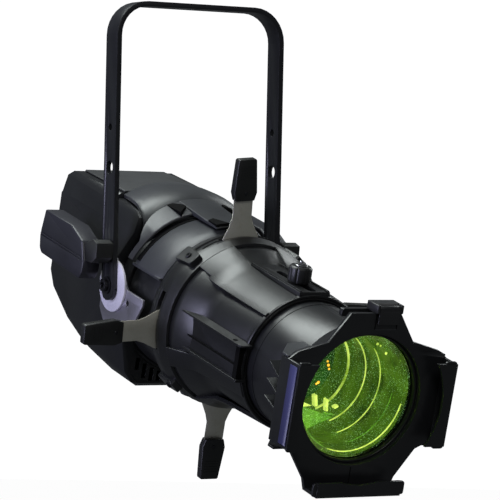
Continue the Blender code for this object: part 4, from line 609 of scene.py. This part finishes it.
# height of each gusset's upper edge, at the rear and at the plate
GUSSETS = ((0.0243, 0.0081), (0.006, -0.0068), (-0.0122, -0.0217))
LUG_REAR, LUG_FRONT = 0.3838, 0.3873
SIDE_LUG = rounded([(0.078, 0.036), (0.0935, 0.036), (0.0935, 0.0465), (0.0805, 0.0465)], 0.003)
FOOT_LUG = rounded([(0.0415, -0.0945), (0.0545, -0.0945), (0.0545, -0.0805), (0.0435, -0.0795)], 0.003)
RIM_REACH = 0.0365
RIM_RADIUS = 0.0828
RIM_MIDDLE = 0.3855
RIM_SECTION = ((0.0, -0.0021), (0.0032, -0.0021), (0.0032, 0.0022), (0.0, 0.0022))
RIM_STEPS = 12


def holder_facets(side, word):
    top = [(side * x, FACET_UP, u) for x, u in FACET_OUTLINE]
    under = [(x, v - FACET_DEPTH, u) for x, v, u in top]
    # painted highlight: the upper facet takes the lighter shroud material, the lower facet the holder's own
    # dark finish
    piece("holder_facet_" + word, loft([under, top]), "tube", "holder", MATERIAL["shroud"])
    foot = [(x, -v - FACET_DROP, u) for x, v, u in top]
    below = [(x, v - FACET_DEPTH, u) for x, v, u in foot]
    piece("holder_facet_low_" + word, loft([below, foot]), "tube", "holder")


def holder_gussets(side, word):
    for index, (rear_up, front_up) in enumerate(GUSSETS):
        outline = [(rear_up, GUSSET_REAR), (rear_up - 0.0028, GUSSET_REAR),
                   (front_up - 0.0034, GUSSET_FRONT), (front_up, GUSSET_FRONT)]
        low, high = span(side, 0.066, 0.0795)
        piece(f"holder_gusset_{word}_{index}", slab(outline, low, high, "vu"), "tube", "holder")


def lip_pieces(side, word):
    """The end lugs of a side lip, and the thicker rim along its curved inner edge."""
    for sign, up in ((1, "top"), (-1, "bottom")):
        outline = [(side * a, sign * b) for a, b in SIDE_LUG]
        piece(f"lip_lug_{word}_{up}", slab(outline, LUG_REAR, LUG_FRONT), "tube", "holder", edge=0.0009)
    rings = []
    for k in range(RIM_STEPS + 1):
        v = RIM_REACH - 2 * RIM_REACH * k / RIM_STEPS
        inner = math.sqrt(max(0.0, RIM_RADIUS ** 2 - v * v)) + 0.0008
        rings.append([(side * (inner + dx), v, RIM_MIDDLE + du) for dx, du in RIM_SECTION])
    piece("lip_rim_" + word, loft(rings), "tube", "holder", edge=0.0007)


for side, word in SIDES:
    holder_facets(side, word)
    holder_gussets(side, word)
    lip_pieces(side, word)
for side, word in SIDES:
    lug = slab(mirrored(FOOT_LUG, side), LUG_REAR, LUG_FRONT)
    piece("foot_lug_" + word, lug, "tube", "holder", edge=0.0009)

# mould lines down the middle of the foot, and the channel that the clip swings in, with painted shade in
# the lines and the channel's edges
MOULD_LINE = (-0.0004, 0.0004)
PLATE_LINE = 0.3655
gap("mould_line_low", brick(MOULD_LINE, (-0.0888, -0.0712), (PLATE_LINE, 0.3663)), "tube", "holder")
gap("mould_line_foot", brick(MOULD_LINE, (-0.0945, -0.0835), (0.3873, 0.38795)), "tube", "holder")
HOOD_OUTLINE = rounded([(-0.0295, 0.082), (0.0295, 0.082), (0.0285, 0.0905), (-0.0285, 0.0905)], 0.003)
piece("holder_hood", slab(HOOD_OUTLINE, 0.3415, 0.3475), "tube", "holder", edge=0.0008)
CHANNEL_ENDS = (0.0007, 0.0263)
for x in CHANNEL_ENDS:
    channel = brick((x - 0.0004, x + 0.0004), (0.0742, 0.0908), (PLATE_LINE, 0.3664))
    gap(f"clip_channel_{int(x * 10000)}", channel, "tube", "holder")
# painted highlight: a strip of the lighter shroud material at the foot of the channel
channel_foot = brick(CHANNEL_ENDS, (0.0738, 0.0744), (PLATE_LINE, 0.3666))
piece("clip_channel_foot", channel_foot, "tube", "holder", MATERIAL["shroud"], edge=0)

# ---------------------------------------------------------------- lens, and the painted glow that shows through it

DUST_SCALE = 1100
FOG_SCALE = 45
SPECK_SCALE = 700
GLOW_ROUGHNESS = 0.3


def lens_glass():
    material, tree, shader = new_material("lens_glass")
    shader.inputs["Base Color"].default_value = (0.94, 1.0, 0.66, 1)
    shader.inputs["Transmission Weight"].default_value = 1.0
    shader.inputs["IOR"].default_value = 1.06
    shader.inputs["Specular IOR Level"].default_value = 0.5
    dust = noise(tree, DUST_SCALE, 1, 0.4)
    patches = noise(tree, FOG_SCALE, 3)
    specks = ramp(tree, dust, ((0.655, 0.0), (0.7, 1.0)))
    dust_fog_and_glints = mix(tree, 1.0, specks, ramp(tree, patches, ((0.35, 0.15), (0.6, 1.0))), "MULTIPLY")
    tree.links.new(ramp(tree, dust_fog_and_glints, ((0.0, 0.02), (1.0, 0.6))), shader.inputs["Roughness"])
    # painted glints: the same dust specks and fogged patches also glow green through the emission; the
    # roughness above is the real dust
    tree.links.new(ramp(tree, dust_fog_and_glints, ((0.2, (0.0, 0.0, 0.0)), (0.9, (0.35, 0.85, 0.3)))),
                   shader.inputs["Emission Color"])
    shader.inputs["Emission Strength"].default_value = 0.55
    return material


def glow(name, dark, light, bright, scale, strength):
    """Painted glow of the coated inside wall seen through the dichroic glass: emission in deep green with
    lighter patches and specks.
    """
    material, tree, shader = new_material(name)
    broad = noise(tree, scale, 4, 0.6)
    specks = noise(tree, SPECK_SCALE, 2, 0.5)
    cloudy = ramp(tree, broad, ((0.3, dark), (0.6, light)))
    speckled = mix(tree, ramp(tree, specks, ((0.66, 0.0), (0.72, 0.8))), cloudy, bright)
    tree.links.new(speckled, shader.inputs["Base Color"])
    tree.links.new(speckled, shader.inputs["Emission Color"])
    shader.inputs["Emission Strength"].default_value = strength
    shader.inputs["Roughness"].default_value = GLOW_ROUGHNESS
    bump(tree, shader, ((broad, 0.0006, 0.4), (specks, 0.00005, 0.4)))
    return material


# painted glow, highlights and glints inside the lens: emissive materials for the well, its floor, the
# bright step edges, the prongs and the sparks
WELL_PAINTED_GLOW = glow("lens_well_green", (0.012, 0.034, 0.003), (0.06, 0.13, 0.012), (0.4, 0.68, 0.16), 34, 0.62)
WELL_DEEP_PAINTED_GLOW = glow("lens_well_deep", (0.005, 0.02, 0.004), (0.022, 0.085, 0.018), (0.36, 0.7, 0.2), 30, 0.6)
YELLOW_PAINTED_GLOW = glow("lens_arc_yellow", (0.22, 0.34, 0.03), (0.72, 0.86, 0.24), (1.0, 1.0, 0.6), 42, 0.7)
GREEN_PAINTED_GLOW = glow("lens_edge_green", (0.02, 0.11, 0.01), (0.14, 0.36, 0.04), (0.6, 0.9, 0.3), 60, 0.55)
SPARK_PAINTED_GLINT = glow("lens_spark_orange", (0.9, 0.32, 0.02), (1.0, 0.5, 0.05), (1.0, 0.8, 0.2), 200, 0.9)

LENS_STEPS = 72
GLASS_RADIUS = 0.0654
GLASS_FRONT = 0.3585
GLASS_BULGE = 0.006
GLASS_ROWS = 10
# the well behind the glass as (radius, along), stepping in towards the gate
WELL_PROFILE = (
    (0.0655, 0.3485), (0.0603, 0.3485), (0.0600, 0.33), (0.0585, 0.33), (0.0585, 0.309),
    (0.0552, 0.309), (0.0552, 0.287), (0.0515, 0.287), (0.0515, 0.262), (0.0465, 0.262),
    (0.0465, 0.236), (0.0, 0.236), (0.0, 0.2335), (0.0652, 0.2335),
)
WELL_CENTRE = 0.0002


def strip(mesh, near, far):
    """Faces between two rings of points."""
    count = len(near)
    for i in range(count):
        n = (i + 1) % count
        mesh.faces.new((near[i], far[i], far[n], near[n]))


def ring_of(mesh, radius, along):
    return [mesh.verts.new(polar(radius, 360 * i / LENS_STEPS, along)) for i in range(LENS_STEPS)]


def glass_mesh():
    """A domed disc with a short rim."""
    mesh = bmesh.new()
    shares = [k / GLASS_ROWS for k in range(1, GLASS_ROWS + 1)]
    profile = [(GLASS_RADIUS * k, GLASS_FRONT - GLASS_BULGE * k ** 2) for k in shares]
    profile += [(0.0655, 0.351), (0.0655, 0.3495)]
    rings = [ring_of(mesh, r, u) for r, u in profile]
    tip = mesh.verts.new((0, 0, GLASS_FRONT))
    for i in range(LENS_STEPS):
        mesh.faces.new((tip, rings[0][i], rings[0][(i + 1) % LENS_STEPS]))
    for near, far in zip(rings, rings[1:]):
        strip(mesh, near, far)
    mesh.faces.new(rings[-1])
    return mesh


def well_mesh():
    mesh = bmesh.new()
    rings = [ring_of(mesh, max(r, WELL_CENTRE), u) for r, u in WELL_PROFILE]
    for near, far in zip(rings, rings[1:] + rings[:1]):
        strip(mesh, near, far)
    return mesh


lens = piece("lens_front_glass", glass_mesh(), "tube", "lenses", lens_glass(), edge=0, crease=60)
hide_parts("front_lens")
# the stepped well behind the glass, in a painted green glow
piece("lens_well", well_mesh(), "tube", "lenses", WELL_PAINTED_GLOW, edge=0)
# painted highlights, as glowing strips on the edges of the steps: name, radius, along, first and last turn,
# half width, material
for name, radius, along, start, end, width, material in (
    ("arc_inner", 0.0467, 0.2625, 20, 160, 0.0009, YELLOW_PAINTED_GLOW),
    ("arc_second", 0.0517, 0.2875, 28, 160, 0.0005, YELLOW_PAINTED_GLOW),
    ("arc_third", 0.0554, 0.3095, 50, 165, 0.0004, YELLOW_PAINTED_GLOW),
    ("arc_outer", 0.0587, 0.3305, 95, 165, 0.0003, GREEN_PAINTED_GLOW),
    ("arc_rim", 0.0604, 0.3486, 100, 200, 0.0005, YELLOW_PAINTED_GLOW),
    ("arc_rim_left", 0.0604, 0.3486, 205, 250, 0.0005, GREEN_PAINTED_GLOW),
):
    profile = ring_profile(radius - width, radius + width, along - width, along + width)
    piece(name, turned(profile, start, end, 40), "tube", "lenses", material, edge=0)
# the floor of the well, in a painted glow
deep = [(0.0004, 0.2372), (0.046, 0.2372), (0.046, 0.2366), (0.0004, 0.2366)]
piece("lens_deep", turned(deep), "tube", "lenses", WELL_DEEP_PAINTED_GLOW, edge=0)
# prongs behind the lens, in a painted glow: place, size, turn in degrees, material
for index, (place, size, turn, material) in enumerate((
    ((-0.012, -0.022, 0.300), (0.0035, 0.012, 0.006), 12, YELLOW_PAINTED_GLOW),
    ((0.002, -0.027, 0.300), (0.0025, 0.013, 0.006), 8, YELLOW_PAINTED_GLOW),
    ((0.0135, -0.029, 0.300), (0.005, 0.002, 0.006), 28, YELLOW_PAINTED_GLOW),
    ((0.003, -0.035, 0.305), (0.011, 0.0014, 0.005), -8, GREEN_PAINTED_GLOW),
)):
    mesh = brick(*((-length / 2, length / 2) for length in size))
    mesh.transform(Matrix.Translation(place) @ Matrix.Rotation(math.radians(turn), 4, "Z"))
    piece(f"lens_prong_{index}", mesh, "tube", "lenses", material, edge=0.0005)
# a vane and a shelf behind the lens, in a painted glow
VANE = [(-0.05, -0.014), (-0.022, -0.024), (-0.052, -0.0275), (-0.047, -0.0245), (-0.031, -0.0235),
        (-0.048, -0.0165)]
piece("lens_vane", slab(VANE, 0.31, 0.312), "tube", "lenses", YELLOW_PAINTED_GLOW, edge=0.0005)
SHELF = [(-0.057, -0.018), (-0.02, -0.03), (0.012, -0.04), (-0.02, -0.0535), (-0.05, -0.034)]
piece("lens_shelf", slab(SHELF, 0.30, 0.302), "tube", "lenses", GREEN_PAINTED_GLOW, edge=0.0005)
# painted glints: small glowing specks just behind the glass, the orange ones first
SPARKS = ((-0.034, 0.034), (-0.0325, 0.030), (-0.031, 0.026), (-0.041, 0.012), (-0.043, 0.0105),
          (0.022, 0.052), (0.026, 0.050), (0.034, 0.042))
ORANGE_SPARKS = 5
SPARK_ALONG = 0.3437
for index, (x, v) in enumerate(SPARKS):
    mesh = aimed(disc(0.0011 + 0.0004 * (index % 2), 0.0, 0.0006, 10), (x, v, SPARK_ALONG), (0, 0, 1))
    material = SPARK_PAINTED_GLINT if index < ORANGE_SPARKS else YELLOW_PAINTED_GLOW
    piece(f"lens_spark_{index}", mesh, "tube", "lenses", material, edge=0)
# painted shade in the gap round the glass
gap_profile = [(0.0656, 0.3478), (0.0659, 0.3478), (0.0659, 0.3555), (0.0656, 0.3545)]
gap("lens_gap", turned(gap_profile, steps=72), "tube", "lenses")

# ---------------------------------------------------------------- shutter grips

RIVET_FROM_BLADE = 0.0085
RIB_PLACES = (0.0255, 0.0285, 0.0315, 0.0345, 0.0375)
RIB_HALF_WIDTH = 0.0085
RIB_HALF_LENGTH = 0.0005
RIB_SUNK, RIB_PROUD = 0.0004, 0.00035
ALONG_BEAM = Vector((0, 0, 1))


def grip_details(word):
    """A rivet and five ribs on the front face of a shutter's grip."""
    inward = INTO_BEAM.to_3x3() @ Vector(JOINTS[f"shutter_{word}_slide"]["axis"])
    inward.normalize()
    points = [INTO_BEAM @ vertex.co for vertex in frame["nodes"]["shutter_grip_" + word].data.vertices]
    reach = [point.dot(inward) for point in points]
    inner, outer = sorted((min(reach), max(reach)), key=abs)
    step = math.copysign(1.0, outer - inner)
    wide = inward.cross(ALONG_BEAM)
    middle = sum(points, Vector()) / len(points)
    front = wide * middle.dot(wide) + ALONG_BEAM * max(point.z for point in points)

    at = front + inward * (inner + step * RIVET_FROM_BLADE)
    rivet = aimed(disc(0.0024, -0.001, 0.0007, 20, 0.0005), at, ALONG_BEAM)
    piece("grip_rivet_" + word, rivet, "shutter_" + word, "grips", MATERIAL["bolts"], edge=0)
    for index, place in enumerate(RIB_PLACES):
        centre = front + inward * (inner + step * place)
        corners = [centre + wide * (a * RIB_HALF_WIDTH) + inward * (b * RIB_HALF_LENGTH)
                   for a, b in ((-1, -1), (1, -1), (1, 1), (-1, 1))]
        low = [tuple(corner - ALONG_BEAM * RIB_SUNK) for corner in corners]
        high = [tuple(corner + ALONG_BEAM * RIB_PROUD) for corner in corners]
        piece(f"grip_rib_{word}_{index}", loft([low, high]), "shutter_" + word, "grips", edge=0)


for word in ("top", "left", "bottom", "right"):
    grip_details(word)

# ---------------------------------------------------------------- yoke pivots

WASHER_INSET = 0.0058
PIVOT = JOINTS["head_tilt"]["pos_m"]
for side, word in SIDES:
    low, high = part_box("pivot_bolt_" + word)
    out = high.x if side > 0 else low.x
    at = INTO_BEAM @ Vector((out - side * WASHER_INSET, PIVOT[1], PIVOT[2]))
    washer = aimed(disc(0.0095, 0.0, 0.0012, 32, 0.0003), at, (side, 0, 0))
    piece("pivot_washer_" + word, washer, "yoke", "bolts", MATERIAL["bolts"], edge=0)

# ---------------------------------------------------------------- floor, lights, camera

STAGE_RADIUS = 7.0
STAGE_BEND = 1.5
STAGE_HEIGHT = 6.0
STAGE_BELOW = 0.5
STAGE_STEPS = 64
BEND_STEPS = 8


def area_light(name, place, size, power, colour, size_y=None):
    """A rectangular light aimed at the middle of the object."""
    data = bpy.data.lights.new(name, "AREA")
    data.shape = "RECTANGLE"
    data.size = size
    data.size_y = size_y or size
    data.energy = power
    data.color = colour
    light = bpy.data.objects.new(name, data)
    bpy.context.scene.collection.objects.link(light)
    light.location = place
    aim = Vector(CENTRE) - Vector(place)
    light.rotation_mode = "QUATERNION"
    light.rotation_quaternion = aim.to_track_quat("-Z", "Y")


def make_stage():
    """A plain pale floor that bends up into a wall all round."""
    floor = CAD_BOX[0].z - STAGE_BELOW
    flat = STAGE_RADIUS - STAGE_BEND
    profile = [(flat, 0.0)]
    for step in range(1, BEND_STEPS + 1):
        angle = math.radians(90 * step / BEND_STEPS)
        profile.append((flat + STAGE_BEND * math.sin(angle), STAGE_BEND - STAGE_BEND * math.cos(angle)))
    profile.append((STAGE_RADIUS, STAGE_HEIGHT))
    turns = [math.tau * i / STAGE_STEPS for i in range(STAGE_STEPS)]
    mesh = bmesh.new()
    rings = [
        [mesh.verts.new((out * math.cos(turn), out * math.sin(turn), floor + up)) for turn in turns]
        for out, up in profile
    ]
    mesh.faces.new(rings[0])
    for low, high in zip(rings, rings[1:]):
        for i in range(STAGE_STEPS):
            j = (i + 1) % STAGE_STEPS
            mesh.faces.new((low[i], low[j], high[j], high[i]))
    data = bpy.data.meshes.new("floor")
    mesh.to_mesh(data)
    mesh.free()
    for polygon in data.polygons:
        polygon.use_smooth = True
    stage = bpy.data.objects.new("floor", data)
    bpy.context.scene.collection.objects.link(stage)
    material, _, shader = new_material("floor_paper")
    shader.inputs["Base Color"].default_value = (0.5, 0.5, 0.5, 1)
    shader.inputs["Roughness"].default_value = 0.9
    shader.inputs["Specular IOR Level"].default_value = 0.0
    shader.inputs["Emission Color"].default_value = (1, 1, 1, 1)
    shader.inputs["Emission Strength"].default_value = 0.97
    data.materials.append(material)
    stage.visible_glossy = False
    stage.visible_diffuse = False
    stage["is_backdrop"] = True


make_stage()

world = bpy.data.worlds.new("world")
bpy.context.scene.world = world
world.use_nodes = True
background = world.node_tree.nodes["Background"]
background.inputs["Color"].default_value = (0.75, 0.8, 0.85, 1)
background.inputs["Strength"].default_value = 0.11

CENTRE = (0.0, -0.1, -0.3)
area_light("key_top", (-0.5, 0.5, 2.1), 1.2, 74, (0.93, 1.0, 0.98), 1.8)
area_light("fill_left", (-2.7, 0.1, -0.1), 0.9, 46, (0.70, 0.70, 1.0), 1.9)
area_light("front", (-0.9, -2.9, 1.0), 0.8, 17, (1.0, 1.0, 1.0))
area_light("rim_right", (2.2, 0.8, 0.6), 1.0, 22, (0.95, 1.0, 1.0), 1.8)

CAMERA_AT = (-1.64487, -2.88760, -0.22785)
CAMERA_RIGHT = Vector((0.859172, -0.511251, 0.021115))
CAMERA_UP = Vector((-0.011807, 0.021448, 0.999697))
CAMERA_BACK = Vector((-0.51155, -0.85916, 0.012391))
camera_data = bpy.data.cameras.new("camera")
camera_data.lens = 216.74
camera_data.sensor_width = 36.0
camera_data.clip_end = 40.0
camera = bpy.data.objects.new("camera", camera_data)
bpy.context.scene.collection.objects.link(camera)
turn = Matrix((CAMERA_RIGHT, CAMERA_UP, CAMERA_BACK)).transposed().to_4x4()
camera.matrix_world = Matrix.Translation(CAMERA_AT) @ turn
bpy.context.scene.camera = camera
bpy.context.scene.view_settings.view_transform = "Standard"

low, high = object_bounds()
